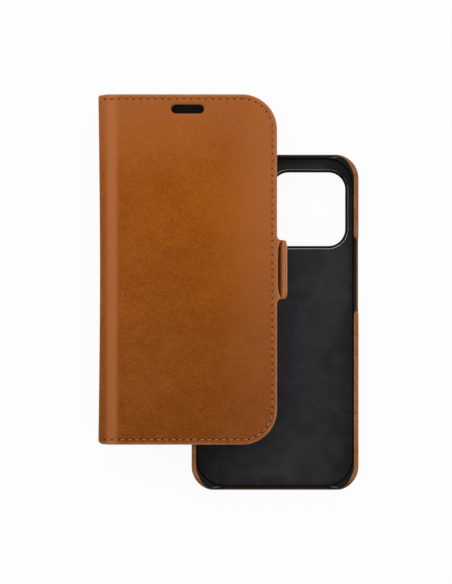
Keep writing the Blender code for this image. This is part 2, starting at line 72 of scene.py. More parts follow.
# Sizes read from the frame.
BACK_LOW, BACK_HIGH = box_mm("back_outer_leather")
SPINE_LOW, SPINE_HIGH = box_mm("spine_leather")
STRAP_LOW, STRAP_HIGH = box_mm("strap_leather")
TRAY_LOW, TRAY_HIGH = box_mm("tray_leather")
BED_LOW, BED_HIGH = box_mm("tray_lining")
RING_LOW, RING_HIGH = box_mm("camera_ring")
LEFT = SPINE_LOW.x
FORE = BACK_HIGH.x
LOW_END = BACK_LOW.y
HIGH_END = BACK_HIGH.y
MIDDLE_V = (LOW_END + HIGH_END) / 2
TOP = SPINE_HIGH.z
COVER_STACK = BACK_HIGH.z
STRAP_HALF = (STRAP_HIGH.y - STRAP_LOW.y) / 2

# Leather of the covers.
LEATHER = 1.0
# How thick the turned edge is at the hinge, and where it rises to the cover's full thickness.
HINGE_STACK = 1.4
STACK_RISES_FROM = 4.6
STACK_RISES_OVER = 3.0
HINGE_LINING_FROM = 1.0
HINGE_LINING_INSET = 1.4
HINGE_LINING_DEPTHS = (1.06, 1.36)
SHOULDER_ACROSS = 8.8
SHOULDER_DOWN = 3.6
SHOULDER_CREST = 6.2
FORE_CORNER = 16.0
# How far each end is drawn in over the spine, and how far across its corner is rounded.
LOW_DROOP = (0.25, 1.8)
HIGH_DROOP = (0.4, 0.7)
DROOP_ACROSS = 5.0
SPINE_WAIST = 0.75
WAIST_POWER = 1.6
TONGUE_SAG = 0.12
STITCH_INSET = 2.25
STITCHES_FROM_SPINE = 3.0
STITCH_PITCH = 3.27
STITCH_LENGTH = 2.25
THREAD = 0.18
HOLE = 0.34
GROOVE = 0.18
GROOVE_SIDE = 0.85 * GROOVE
GROOVE_FADE = 1.6

# Speaker slot and camera window.
SPEAKER_LENGTH = 14.9
SPEAKER_WIDTH = 4.1
SPEAKER_FROM_TOP = 6.7
WINDOW_MARGIN = 1.0
CAMERA_CORNER = 9.0

# Strap.
STRAP_FLARE = 2.0
STRAP_ROOT = 2.05
STRAP_SCALLOP = 1.75
SCALLOP_SQUARENESS = 5.0
HINGE_GAP = 0.3
CREASE_INSET = 0.4
CREASE_PLY = 0.34
STRAP_LEATHER = 0.6
# How wide the strap's turned-in edge is, how deep its under side lies and how far along it starts.
STRAP_TURN = 0.95
TURNED = 1.16
TURNED_FROM = 3.4
STRAP_START_EASED = 0.3
STRAP_START_EASED_OVER = 0.45
STRAP_THICKNESS = 1.6
STRAP_STITCH_SUNK = 0.06
STRAP_TIP_CORNER = 7.0
STRAP_PINCH = 0.2
PINCH_GROWS_OVER = 2.6
PINCH_FADES_FROM = 6.0
PINCH_FADES_OVER = 6.0
# How far in from the outer bend the strap is paler: pull-up paling and painted highlight.
STRAP_SHEEN_BAND = 0.32
STRAP_SIDE_ROUND = 0.45
STRAP_SIDE_REACH = 2.2
STRAP_LINING_INSET = 0.35
INLAY_GAP = 0.15
POCKET_FROM_EDGE = 1.15

# Tray.
TRAY_CORNER = 11.0
PHONE_CORNER = 12.7
TRAY_BOTTOM_ROUND = 2.0
TRAY_LEATHER = 0.6
CORE_IN = TRAY_LEATHER + 0.1
RIM_ROUND = 0.5
END_WALL_HEIGHT = 3.0
END_LOW_HALF = 28.5
BUTTON_WALL_HEIGHT = 2.2
POWER_NOTCH = (21.5, 33.2)
VOLUME_NOTCH = (30.0, 44.0)
NOTCH_RAMP = 3.0
FOLD_NARROWS_FROM = 22.0
FOLD_NARROWS_OVER = 56.0
BARE_END_FOLD = 0.6
BARE_SIDE_FOLD = 1.1
LIP_SHOWS = 0.35

SHOULDER_STEPS = 240
ARC_STEPS = 18
SMALL_STEPS = 5
BOTTOM_STEPS = 8
STRAP_STEPS = 28
ACROSS = 14


# Materials.


def rgba(colour):
    """A colour socket as it is, or the values of a colour with their alpha."""
    return colour if isinstance(colour, bpy.types.NodeSocket) else (*colour, 1.0)


def set_inputs(node, inputs):
    """Gives each of a node's inputs its value, or links it to a socket."""
    for name, value in inputs.items():
        if isinstance(value, bpy.types.NodeSocket):
            node.id_data.links.new(value, node.inputs[name])
        else:
            node.inputs[name].default_value = value


def add_node(tree, kind, inputs=(), **settings):
    """A new node with its settings, and a value or a link for each input that is named."""
    node = tree.nodes.new(f"ShaderNode{kind}")
    for name, value in settings.items():
        setattr(node, name, value)
    set_inputs(node, dict(inputs))
    return node


class Nodes:
    """A short way to write a material's nodes."""

    def __init__(self, name):
        self.material = bpy.data.materials.new(name)
        self.material.use_nodes = True
        self.tree = self.material.node_tree
        self.shader = self.tree.nodes["Principled BSDF"]
        self.place = self.add("TexCoord")["Object"]

    def add(self, kind, inputs=(), **settings):
        return add_node(self.tree, kind, inputs, **settings).outputs

    def mapped(self, **inputs):
        return self.add("Mapping", {"Vector": self.place, **inputs})["Vector"]

    def noise(self, scale, detail, roughness=0.55, place=None, distortion=0.0):
        inputs = {"Scale": scale, "Detail": detail, "Roughness": roughness, "Distortion": distortion}
        return self.add("TexNoise", {"Vector": place or self.place, **inputs})["Fac"]

    def cells(self, scale):
        inputs = {"Vector": self.place, "Scale": scale}
        return self.add("TexVoronoi", inputs, feature="DISTANCE_TO_EDGE")["Distance"]

    def axis(self, name):
        return self.add("SeparateXYZ", {"Vector": self.place})[name]

    def spread(self, value, low, high, to_low=0.0, to_high=1.0, kind="SMOOTHSTEP"):
        inputs = {"Value": value, "From Min": low, "From Max": high, "To Min": to_low, "To Max": to_high}
        return self.add("MapRange", inputs, interpolation_type=kind)["Result"]

    def maths(self, operation, a, b=0.0):
        return self.add("Math", {0: a, 1: b}, operation=operation)[0]

    def product(self, a, b):
        return self.maths("MULTIPLY", a, b)

    def mostly(self, a, b):
        """Six parts of a and four of b."""
        return self.maths("ADD", self.product(a, 0.6), self.product(b, 0.4))

    def away(self, value, place):
        """How far a value is from a place, to either side."""
        return self.maths("ABSOLUTE", self.maths("SUBTRACT", value, place))

    def mix(self, share, a, b, blend="MIX"):
        inputs = {"Factor": share, 6: rgba(a), 7: rgba(b)}
        return self.add("Mix", inputs, data_type="RGBA", blend_type=blend)[2]

    def wear_and_sheen(self):
        """The share of wear and painted highlight written on the piece's points."""
        return self.add("Attribute", attribute_name="wear_and_sheen_share")["Fac"]

    def joined(self, values):
        return self.add("CombineColor", dict(enumerate(values)))["Color"]

    def bump(self, height, distance, strength, **under):
        inputs = {"Height": height, "Distance": distance, "Strength": strength, **under}
        return self.add("Bump", inputs)["Normal"]

    def finish(self, colour, roughness, normal, **numbers):
        set_inputs(self.shader, {"Base Color": rgba(colour), "Roughness": roughness, "Normal": normal})
        set_inputs(self.shader, {name.replace("_", " "): value for name, value in numbers.items()})
        return self.material


def leather(name, deep, pale, edge, seed=0.0):
    """Waxed pull-up leather: mottled, flecked and faintly scuffed, in a pattern shifted by seed."""
    n = Nodes(name)
    unshifted = n.place
    n.place = n.mapped(Location=(seed, seed / 2, 0.0))
    clouds = n.noise(38.0, 3.0, 0.5)
    patches = n.noise(150.0, 5.0, 0.6, distortion=0.4)
    mottle = n.mostly(clouds, patches)
    colour = n.mix(n.spread(mottle, 0.32, 0.68), deep, pale)
    flecks = n.noise(420.0, 3.0, 0.65, distortion=0.3)
    specks = n.noise(1250.0, 3.0, 0.7)
    # Grain specks, lighter and darker alike in every channel: the grain's own tone, with painted glints and
    # shade on it.
    for fleck, depth in ((flecks, 0.045), (specks, 0.21)):
        shades = [n.spread(fleck, 0.32, 0.68, 1 - depth * k, 1 + depth * k, "LINEAR") for k in GRAIN_AND_GLINT_TINT]
        colour = n.mix(1.0, colour, n.joined(shades), "MULTIPLY")
    scratches = n.noise(1.0, 2.0, 0.5, place=n.mapped(Scale=(70.0, 420.0, 90.0)), distortion=0.6)
    wear_and_sheen = n.product(n.spread(scratches, 0.66, 0.80), 0.35)
    colour = n.mix(wear_and_sheen, colour, edge)
    grain = n.cells(1500.0)
    pores = n.noise(2600.0, 2.0, 0.5)
    normal = n.bump(patches, 0.00015, 0.15)
    normal = n.bump(n.spread(grain, 0.0, 0.12), 0.000025, 0.25, Normal=normal)
    normal = n.bump(pores, 0.000025, 0.2, Normal=normal)
    rough = n.spread(mottle, 0.35, 0.65, 0.40, 0.34)
    n.place = unshifted
    return n, colour, rough, normal


def waxed(n, colour, rough, normal, gloss=0.22):
    return n.finish(colour, rough, normal, Specular_IOR_Level=gloss, Specular_Tint=WARM_GLOSS)


def cover_leather():
    """The covers' leather: paler to the fore and high edges as painted sheen, darker to the low end as
    painted shade, golden at heart, with a painted highlight along the shoulder and edges paler from wear and
    painted highlight.
    """
    n, colour, rough, normal = leather("tan_leather", DEEP_TAN, PALE_TAN, EDGE_TAN)
    along = n.spread(n.axis("Y"), LOW_END * MM, HIGH_END * MM, kind="LINEAR")
    x = n.axis("X")
    # Painted sheen: paler towards the fore edge and the high end.
    painted_sheen = n.product(n.spread(x, (LEFT + PAINTED_SHEEN_FROM) * MM, FORE * MM), n.spread(along, 0.0, 0.9, 0.3, 0.85))
    painted_sheen = n.maths("MAXIMUM", painted_sheen, n.spread(along, 0.72, 1.0, 0.0, 0.6))
    colour = n.mix(painted_sheen, colour, EDGE_TAN)
    # Painted shade: darker towards the low end, a little less so beside the spine.
    spineward = n.spread(x, LEFT * MM, (LEFT + PAINTED_SHADE_ACROSS) * MM, 0.72, 1.0)
    painted_shade = n.product(n.spread(along, 0.0, 0.75, 1.0, 0.0), spineward)
    colour = n.mix(painted_shade, colour, PAINTED_SHADE, "MULTIPLY")
    middle = n.spread(n.away(along, 0.52), 0.12, 0.44, 1.0, 0.0)
    centre = n.spread(n.away(x, (LEFT + HEART_AT) * MM), 0.012, 0.036, 1.0, 0.0)
    colour = n.mix(n.product(middle, centre), colour, GOLDEN, "MULTIPLY")
    # Painted highlight along the spine's shoulder, dimmer towards the low end.
    bend = n.away(x, (LEFT + SHOULDER_CREST) * MM)
    painted_highlight = n.mix(n.spread(along, 0.0, 0.75), [c * 0.88 for c in CREST_TAN], CREST_TAN)
    colour = n.mix(n.spread(bend, 0.0008, 0.0038, 0.9, 0.0), colour, painted_highlight)
    # Edges paler from wear and a painted highlight.
    rubbed_and_sheen = n.product(n.wear_and_sheen(), n.spread(n.noise(260.0, 3.0, 0.6), 0.3, 0.7, 0.35, 0.8))
    colour = n.mix(rubbed_and_sheen, colour, WEAR_AND_SHEEN_TAN)
    return waxed(n, colour, rough, normal, 0.2)


def strap_leather():
    """The strap's leather, paler where it is always bent: pull-up paling and a painted highlight on the bend.
    """
    n, colour, rough, normal = leather("strap_leather", EDGE_TAN, CREST_TAN, WEAR_AND_SHEEN_TAN)
    return waxed(n, n.mix(n.wear_and_sheen(), colour, BENT_AND_SHEEN_TAN), rough, normal)


def tray_leather():
    """The tray's leather, darker as painted shade where it wraps round the low end."""
    n, colour, rough, normal = leather("tray_leather", RIM_DEEP, RIM_PALE, EDGE_TAN, 0.7)
    # Painted shade towards the tray's low end.
    low = n.spread(n.axis("Y"), (TRAY_LOW.y + 1.0) * MM, (TRAY_LOW.y + 7.0) * MM, 1.0, 0.0)
    return waxed(n, n.mix(low, colour, RIM_PAINTED_SHADE, "MULTIPLY"), rough, normal)


def grained(name, noise, dark, light, rough, relief, **numbers):
    """A plain material, with one fine grain in its colour, its gloss and its surface."""
    n = Nodes(name)
    grain = n.noise(*noise)
    return n.finish(n.mix(grain, dark, light), n.spread(grain, *rough), n.bump(grain, *relief), **numbers)


def edge_paint(name, colour, gloss=0.15):
    dark, rough, relief = [c * 0.6 for c in colour], (0.2, 0.8, 0.5, 0.7), (0.00006, 0.4)
    return grained(name, (700.0, 3.0), dark, colour, rough, relief, Specular_IOR_Level=gloss)


def moulded_plastic():
    dark, light = (0.005, 0.005, 0.0055), (0.012, 0.012, 0.0125)
    rough, relief = (0.3, 0.7, 0.5, 0.62), (0.00003, 0.4)
    return grained("black_shell", (2600.0, 3.0, 0.6), dark, light, rough, relief, Specular_IOR_Level=0.09)


def suede(name, dark, light, nap=2200.0, sheen=0.1):
    """A short-napped fabric, with its nap brushed to and fro in soft patches."""
    n = Nodes(name)
    brushed = n.noise(70.0, 3.0, 0.5, distortion=1.2)
    fibres = n.noise(nap, 4.0, 0.7)
    colour = n.mix(n.spread(n.mostly(brushed, fibres), 0.35, 0.65), dark, light)
    normal = n.bump(fibres, 0.00012, 0.5)
    return n.finish(colour, 0.92, normal, Sheen_Weight=sheen, Sheen_Roughness=0.5, Specular_IOR_Level=0.15)


def thread_material(name, colour):
    """Waxed thread, with the turns of its plies."""
    n = Nodes(name)
    plies = n.noise(2400.0, 2.0, 0.6)
    shade = n.mix(n.spread(plies, 0.3, 0.7), [c * 0.62 for c in colour], colour)
    return n.finish(shade, 0.6, n.bump(plies, 0.00008, 0.6), Specular_IOR_Level=0.1)


def metal(name, colour, roughness):
    n = Nodes(name)
    brushed = n.noise(1.0, 3.0, 0.6, place=n.mapped(Scale=(300.0, 4000.0, 300.0)))
    shade = n.mix(brushed, [c * 0.8 for c in colour], colour)
    rough = n.spread(brushed, 0.3, 0.7, roughness - 0.06, roughness + 0.08)
    return n.finish(shade, rough, n.bump(brushed, 0.00001, 0.3), Metallic=1.0)


def grey_board():
    n = Nodes("board")
    fibres = n.noise(1500.0, 5.0, 0.7)
    colour = n.mix(fibres, (0.16, 0.145, 0.12), (0.27, 0.25, 0.21))
    return n.finish(colour, 0.85, n.bump(fibres, 0.00008, 0.5))


# Where the covers' painted shade, golden heart and painted sheen change, counted across from the spine's
# outer face.
PAINTED_SHADE_ACROSS = 16.0
HEART_AT = 38.0
PAINTED_SHEEN_FROM = 45.0

# Colours, as linear red, green and blue.
DEEP_TAN = (0.285, 0.063, 0.0025)
PALE_TAN = (0.335, 0.079, 0.0050)
# Also the colour of the painted sheen towards the covers' fore and high edges.
EDGE_TAN = (0.385, 0.115, 0.030)
# Painted highlight on the covers' shoulder; also the strap's paler tone.
CREST_TAN = (0.415, 0.128, 0.036)
# Wear and painted highlight on the covers' edges; the strap's scuffs.
WEAR_AND_SHEEN_TAN = (0.44, 0.18, 0.080)
# Pull-up paling and a painted highlight on the strap's bend.
BENT_AND_SHEEN_TAN = (0.70, 0.41, 0.28)
# Painted shade for the covers' low end.
PAINTED_SHADE = (0.66, 0.70, 1.0)
GOLDEN = (0.96, 0.97, 0.35)
# Painted shade for the tray's low end.
RIM_PAINTED_SHADE = (0.34, 0.32, 0.36)
RIM_DEEP = (0.250, 0.090, 0.029)
RIM_PALE = (0.330, 0.134, 0.053)
THREAD_TAN = (0.56, 0.225, 0.08)
# Painted shade of the needle holes.
HOLE_SHADE_BROWN = (0.014, 0.0045, 0.0012)
WARM_GLOSS = (1.0, 0.78, 0.5, 1.0)
# How strongly the grain shows in red, in green and in blue: the grain's own tone, with painted glints and
# shade on it.
GRAIN_AND_GLINT_TINT = (1.0, 1.8, 3.5)

COVER_TAN = cover_leather()
STRAP_TAN = strap_leather()
RIM_TAN = tray_leather()
POCKET_TAN = waxed(*leather("pocket_leather", DEEP_TAN, PALE_TAN, EDGE_TAN, 1.1))
# Dark edge-painted leather of the strap's crease ply, dark also as painted shade in the crease.
FLESH_SIDE_AND_SHADE = edge_paint("strap_crease", (0.20, 0.062, 0.014))
SLOT_BLACK = edge_paint("slot_edge", (0.003, 0.0027, 0.0025), 0.06)
# Edge paint; on the tray's low-cut rim it is also painted shade.
BURNISHED_AND_SHADED = edge_paint("burnished_edge", (0.13, 0.055, 0.026))
THREAD_MATERIAL = thread_material("thread", THREAD_TAN)
HOLE_SHADE_MATERIAL = edge_paint("needle_hole_shade", HOLE_SHADE_BROWN, 0.03)
COVER_LINING = suede("cover_lining", (0.0030, 0.0027, 0.0024), (0.0080, 0.0072, 0.0065), sheen=0.02)
MICROFIBRE = suede("microfibre", (0.018, 0.018, 0.020), (0.030, 0.030, 0.033), 3000.0)
SHELL_BLACK = moulded_plastic()
STEEL = metal("steel", (0.50, 0.50, 0.51), 0.34)
NICKEL = metal("magnet", (0.62, 0.61, 0.58), 0.24)
BOARD = grey_board()
BLACK_BOARD = edge_paint("black_board", (0.012, 0.011, 0.010), 0.06)

PLAIN_NODES = {
    COVER_LINING: ("back_lining", "front_lining", "spine_lining", "strap_lining"),
    BOARD: ("back_board", "front_board", "strap_board"),
    BLACK_BOARD: ("spine_board",),
    STEEL: ("dock_plate_upper", "dock_plate_lower", "strap_catch_plate"),
    NICKEL: ("strap_magnet", "dock_magnet_1", "dock_magnet_2", "dock_magnet_3", "dock_magnet_4"),
}
for material, names in PLAIN_NODES.items():
    for node_name in names:
        slots = frame["nodes"][node_name].data.materials
        slots.clear()
        slots.append(material)


# Meshes.


def smooth(value):
    value = min(max(value, 0.0), 1.0)
    return value * value * (3 - 2 * value)


def add_object(name, data):
    obj = bpy.data.objects.new(name, data)
    bpy.context.scene.collection.objects.link(obj)
    return obj


def mesh_piece(name, bm, material, sharp=50.0):
    bmesh.ops.remove_doubles(bm, verts=bm.verts, dist=1e-7)
    bmesh.ops.recalc_face_normals(bm, faces=bm.faces)
    mesh = bpy.data.meshes.new(name)
    bm.to_mesh(mesh)
    bm.free()
    mesh.shade_smooth()
    mesh.set_sharp_from_angle(angle=math.radians(sharp))
    mesh.materials.append(material)
    return add_object(name, mesh)


def vertex_rows(bm, rows):
    return [[bm.verts.new((x * MM, y * MM, z * MM)) for x, y, z in row] for row in rows]


def bridge(bm, low, high, closed=True):
    """Quads between two rows of as many vertices."""
    for i in range(0 if closed else 1, len(low)):
        bm.faces.new((low[i - 1], low[i], high[i], high[i - 1]))


def bridge_all(bm, rows, closed=True):
    for low, high in zip(rows, rows[1:]):
        bridge(bm, low, high, closed)


def fill_solid(bm, rows):
    """Walls between closed rows, with a face over each end."""
    bridge_all(bm, rows)
    bm.faces.new(rows[0])
    bm.faces.new(rows[-1])


def loft(name, rows, material):
    """A closed solid through closed rows of points."""
    bm = bmesh.new()
    fill_solid(bm, vertex_rows(bm, rows))
    return mesh_piece(name, bm, material)


def endless(name, rows, material):
    """A closed solid whose last row of points leads back to its first."""
    bm = bmesh.new()
    rows = vertex_rows(bm, rows)
    for i, row in enumerate(rows):
        bridge(bm, rows[i - 1], row)
    return mesh_piece(name, bm, material)


def row_edges(row, closed):
    edges = []
    for i in range(0 if closed else 1, len(row)):
        edge = next((e for e in row[i].link_edges if e.other_vert(row[i]) is row[i - 1]), None)
        edges.append(edge)
    return edges


def arc(centre_x, centre_y, radius, start, end, steps=ARC_STEPS):
    points = []
    for i in range(steps + 1):
        angle = math.radians(start + (end - start) * i / steps)
        points.append((centre_x + radius * math.cos(angle), centre_y + radius * math.sin(angle)))
    return points


def quarter(steps):
    """(sine, cosine) at even steps through a quarter turn."""
    angles = [math.pi / 2 * i / steps for i in range(steps + 1)]
    return [(math.sin(angle), math.cos(angle)) for angle in angles]


def rounded(x0, x1, y0, y1, corner):
    """A rounded rectangle, anticlockwise."""
    left, right, low, high = x0 + corner, x1 - corner, y0 + corner, y1 - corner
    points = []
    for x, y, start in ((right, low, 270), (right, high, 0), (left, high, 90), (left, low, 180)):
        points += arc(x, y, corner, start, start + 90)
    return points


# The shape of a cover's leather.


def shoulder_table():
    """(u, x, z, outward x, outward z) from half way up the spine to where the board begins.

    x and z are from the spine's upper outer corner, and z is negative below it.
    """
    rows = [(0.0, 0.0, -TOP / 2, -1.0, 0.0)]
    u = TOP / 2 - SHOULDER_DOWN
    x, z = 0.0, -SHOULDER_DOWN
    for sine, cosine in quarter(SHOULDER_STEPS):
        new_x = SHOULDER_ACROSS * (1 - cosine)
        new_z = -SHOULDER_DOWN * (1 - sine)
        u += math.hypot(new_x - x, new_z - z)
        x, z = new_x, new_z
        out_x = -SHOULDER_DOWN * cosine
        out_z = SHOULDER_ACROSS * sine
        size = math.hypot(out_x, out_z)
        rows.append((u, x, z, out_x / size, out_z / size))
    return rows


SHOULDER = shoulder_table()
U_BOARD = SHOULDER[-1][0]
U_FORE = U_BOARD + FORE - LEFT - SHOULDER_ACROSS


def shoulder_at(u):
    """(x, z, outward x, outward z) of the outer face at u."""
    if u >= U_BOARD:
        return SHOULDER_ACROSS + u - U_BOARD, 0.0, 0.0, 1.0
    for low, high in zip(SHOULDER, SHOULDER[1:]):
        if u <= high[0]:
            share = (u - low[0]) / max(high[0] - low[0], 1e-9)
            return tuple(a + (b - a) * share for a, b in zip(low[1:], high[1:]))
    return SHOULDER[-1][1:]


def u_of(x):
    """The u of a point x across the front, counted from the spine's outer face."""
    if x >= SHOULDER_ACROSS:
        return U_BOARD + x - SHOULDER_ACROSS
    return next(row[0] for row in SHOULDER if row[1] >= x)


class Cover:
    """Turns (u, v, depth) into a point of the front cover (side 1) or the back cover (side -1)."""

    def __init__(self, side):
        self.side = side

    def place(self, u, v, depth):
        x, z, out_x, out_z = shoulder_at(u)
        if depth < LEATHER:
            depth += waist(v) * max(-out_x, 0.0) * (1 - depth / LEATHER)
        x -= out_x * depth
        z -= out_z * depth
        return LEFT + x, v, TOP + z if self.side > 0 else -z

    def normal(self, u):
        _, _, out_x, out_z = shoulder_at(u)
        return Vector((out_x, 0.0, self.side * out_z))


def tongue(v):
    """How far the front cover's leather runs out past its fore edge, at v."""
    away = abs(v - MIDDLE_V)
    if away >= STRAP_HALF + STRAP_FLARE:
        return 0.0
    if away > STRAP_HALF:
        share = (STRAP_HALF + STRAP_FLARE - away) / STRAP_FLARE
        return STRAP_ROOT * (1 - math.sqrt(max(1 - share * share, 0.0)))
    return STRAP_ROOT - STRAP_SCALLOP * (1 - (away / STRAP_HALF) ** SCALLOP_SQUARENESS)


def strip_stations():
    """The u of each row of points from the middle of the spine to the board's edge."""
    stations = [row[0] for row in SHOULDER[1::12]]
    straight = SHOULDER[1][0]
    return [straight * i / 3 for i in range(3)] + stations


STRIP = strip_stations()


def fore_stations():
    """The v of each point up the fore edge, close together where the strap leaves it."""
    flare = [STRAP_HALF + STRAP_FLARE * (1 - sine) for sine, _ in quarter(6)]
    scallop = [STRAP_HALF * math.cos(math.pi * i / 24) for i in range(1, 24)]
    inside = [LOW_END + FORE_CORNER + 12.0 * i for i in range(1, 4)]
    stations = inside + [MIDDLE_V - away for away in flare]
    stations += [MIDDLE_V - away for away in scallop]
    stations += [MIDDLE_V + away for away in reversed(flare)]
    return stations + [HIGH_END - FORE_CORNER - 12.0 * i for i in range(3, 0, -1)]


FORE_STATIONS = fore_stations()


def droop(u, drop, rounding):
    """How far an end of the leather is drawn in where it turns down over the spine."""
    x = shoulder_at(u)[0]
    return drop * (1 - smooth(x / DROOP_ACROSS)) + rounding / 2 * max(1 - x / rounding, 0.0) ** 2


def waist(v):
    """How far the spine's outer face is drawn in at v: the spine is a little narrower at its middle."""
    share = abs(v - MIDDLE_V) / (HIGH_END - MIDDLE_V)
    return SPINE_WAIST * (1 - min(share, 1.0) ** WAIST_POWER)


def ring_plan(inset, out):
    """(u, v) from the spine's low end round the fore edge to its high end. out scales the tongue."""
    corner = FORE_CORNER - inset
    plan = [(u, LOW_END + inset + droop(u, *LOW_DROOP)) for u in STRIP]
    plan += arc(U_FORE - FORE_CORNER, LOW_END + FORE_CORNER, corner, 270, 360)
    plan += [(U_FORE - inset + out * tongue(v), v) for v in FORE_STATIONS]
    plan += arc(U_FORE - FORE_CORNER, HIGH_END - FORE_CORNER, corner, 0, 90)
    plan += [(u, HIGH_END - inset - droop(u, *HIGH_DROOP)) for u in reversed(STRIP)]
    return plan


# (inset, depth from the outer face or None, depth up from the inner face, share of the tongue)
EDGE_PROFILE = (
    (1.0, LEATHER, None, 0),
    (1.0, None, 0.0, 0),
    (0.4, None, 0.0, 0),
    (0.12, None, 0.08, 0),
    (0.0, None, 0.3, 0),
    (0.0, 1.0, None, 0),
    (0.0, 0.85, None, 1),
    (0.0, 0.55, None, 1),
    (0.08, 0.27, None, 1),
    (0.25, 0.09, None, 1),
    (0.5, 0.02, None, 1),
    (0.8, 0.0, None, 0.6),
    (STITCH_INSET - 0.75, 0.0, None, 0),
    (STITCH_INSET - 0.52, 0.02, None, 0),
    (STITCH_INSET - 0.38, GROOVE_SIDE, None, 0),
    (STITCH_INSET, GROOVE, None, 0),
    (STITCH_INSET + 0.38, GROOVE_SIDE, None, 0),
    (STITCH_INSET + 0.52, 0.02, None, 0),
    (STITCH_INSET + 0.75, 0.0, None, 0),
)


def stack_at(u):
    """The thickness of the turned edge at u: thin over the hinge, full over the board."""
    x = shoulder_at(u)[0]
    return HINGE_STACK + (COVER_STACK - HINGE_STACK) * smooth((x - STACK_RISES_FROM) / STACK_RISES_OVER)


def stitch_groove(u, depth, inset):
    """Fades the stitches' groove out over the spine, where there are no stitches."""
    if abs(inset - STITCH_INSET) < 0.6:
        return depth * smooth((shoulder_at(u)[0] - STITCHES_FROM_SPINE) / GROOVE_FADE + 1)
    return depth


def edge_row(cover, inset, depth, up, out):
    """One ring of a cover's leather. Only the front cover's has the tongue."""
    reach = out if cover.side > 0 else 0.0
    row = []
    for u, v in ring_plan(inset, reach):
        at = stack_at(u) - up if depth is None else stitch_groove(u, depth, inset)
        sag = TONGUE_SAG * reach * tongue(v) if u > U_FORE - FORE_CORNER / 2 else 0.0
        row.append(cover.place(u, v, at + sag))
    return row


def cross_rows(bm, cover, edge_row_verts, depth):
    """For each station of the strip, the vertices across it from its low end to its high end."""
    rows = []
    last = len(edge_row_verts) - 1
    for k, u in enumerate(STRIP):
        low, high = edge_row_verts[k], edge_row_verts[last - k]
        row = [low]
        for i in range(1, ACROSS):
            v = (low.co.y + (high.co.y - low.co.y) * i / ACROSS) / MM
            row.append(bm.verts.new(Vector(cover.place(u, v, depth)) * MM))
        rows.append(row + [high])
    return rows


def leather_skin(name, side, holes):
    """One closed piece of leather from the middle of the spine over a whole cover.

    holes is a list of rows of (plan, depth), each row from the outer face down to the inner one.
    """
    cover = Cover(side)
    bm = bmesh.new()
    wear_and_sheen_share = bm.verts.layers.float.new("wear_and_sheen_share")
    rows = vertex_rows(bm, [edge_row(cover, *entry) for entry in EDGE_PROFILE])
    # The outer edges take a share of wear and painted highlight.
    for row, (inset, depth, _, _) in zip(rows, EDGE_PROFILE):
        for vertex in row:
            vertex[wear_and_sheen_share] = 0.0 if depth is None or depth == LEATHER else 1 - smooth((inset - 0.3) / 0.9)
    bridge_all(bm, rows, closed=False)
    hole_rows = []
    for hole in holes:
        ring = [[cover.place(u, v, depth) for u, v in plan] for plan, depth in hole]
        hole_rows.append(vertex_rows(bm, ring))
        bridge_all(bm, hole_rows[-1])
    caps = []
    for edge_verts, depth, which in ((rows[-1], 0.0, 0), (rows[0], LEATHER, -1)):
        strips = cross_rows(bm, cover, edge_verts, depth)
        bridge_all(bm, strips, closed=False)
        caps.append(strips[0])
        count = len(STRIP)
        edges = row_edges(edge_verts[count - 1 : len(edge_verts) - count + 1], False)
        edges += row_edges(strips[-1], False)
        for ring in hole_rows:
            edges += row_edges(ring[which], True)
        bmesh.ops.triangle_fill(bm, edges=edges, use_beauty=True, normal=(0, 0, side))
    outer, inner = caps
    low_side = [row[0] for row in reversed(rows)]
    high_side = [row[-1] for row in rows]
    loop = list(reversed(outer))[:-1] + low_side + inner[1:-1] + high_side[:-1]
    bm.faces.new(loop)
    return mesh_piece(name, bm, COVER_TAN, sharp=60.0)


def slot_plan(grow):
    """The speaker slot's outline on the front cover, grown by an amount."""
    u = U_BOARD + (FORE - LEFT) / 2 - SHOULDER_ACROSS
    v = HIGH_END - SPEAKER_FROM_TOP
    half_u = SPEAKER_LENGTH / 2 + grow
    half_v = SPEAKER_WIDTH / 2 + grow
    return rounded(u - half_u, u + half_u, v - half_v, v + half_v, half_v - 1e-4)


def window_plan(grow):
    """The camera window's outline on the back cover: round the docked tray's, with a margin."""
    slide = next(joint for joint in frame["joints"] if joint["name"] == "tray_slide")
    docked = Vector(slide["axis"]) * slide["range_m"][1] / MM
    start = U_BOARD - LEFT - SHOULDER_ACROSS + docked.x
    margin = WINDOW_MARGIN + grow
    u0, u1 = start + RING_LOW.x - margin, start + RING_HIGH.x + margin
    v0, v1 = docked.y + RING_LOW.y - margin, docked.y + RING_HIGH.y + margin
    return rounded(u0, u1, v0, v1, CAMERA_CORNER + margin)


SLOT_PROFILE = ((1.3, 0.0), (0.95, 0.04), (0.7, 0.13), (0.4, 0.2), (0.12, 0.24), (0.02, 0.34), (0.0, LEATHER))
WINDOW_PROFILE = ((0.9, 0.0), (0.5, 0.0), (0.2, 0.05), (0.05, 0.2), (0.0, 0.45), (0.0, LEATHER))


def bend_at_hinge(piece, side):
    """Bakes a piece's placement into its mesh, the same for the front cover (side 1) and the back one;
    nothing bends it at the hinge.
    """
    if side > 0:
        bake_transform(piece)
    else:
        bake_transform(piece)


def make_skins():
    front = leather_skin("front_leather_skin", 1, [[(slot_plan(g), d) for g, d in SLOT_PROFILE]])
    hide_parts("front_outer_leather", "spine_leather")
    bend_at_hinge(front, 1)
    back = leather_skin("back_leather_skin", -1, [[(window_plan(g), d) for g, d in WINDOW_PROFILE]])
    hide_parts("back_outer_leather")
    bend_at_hinge(back, -1)


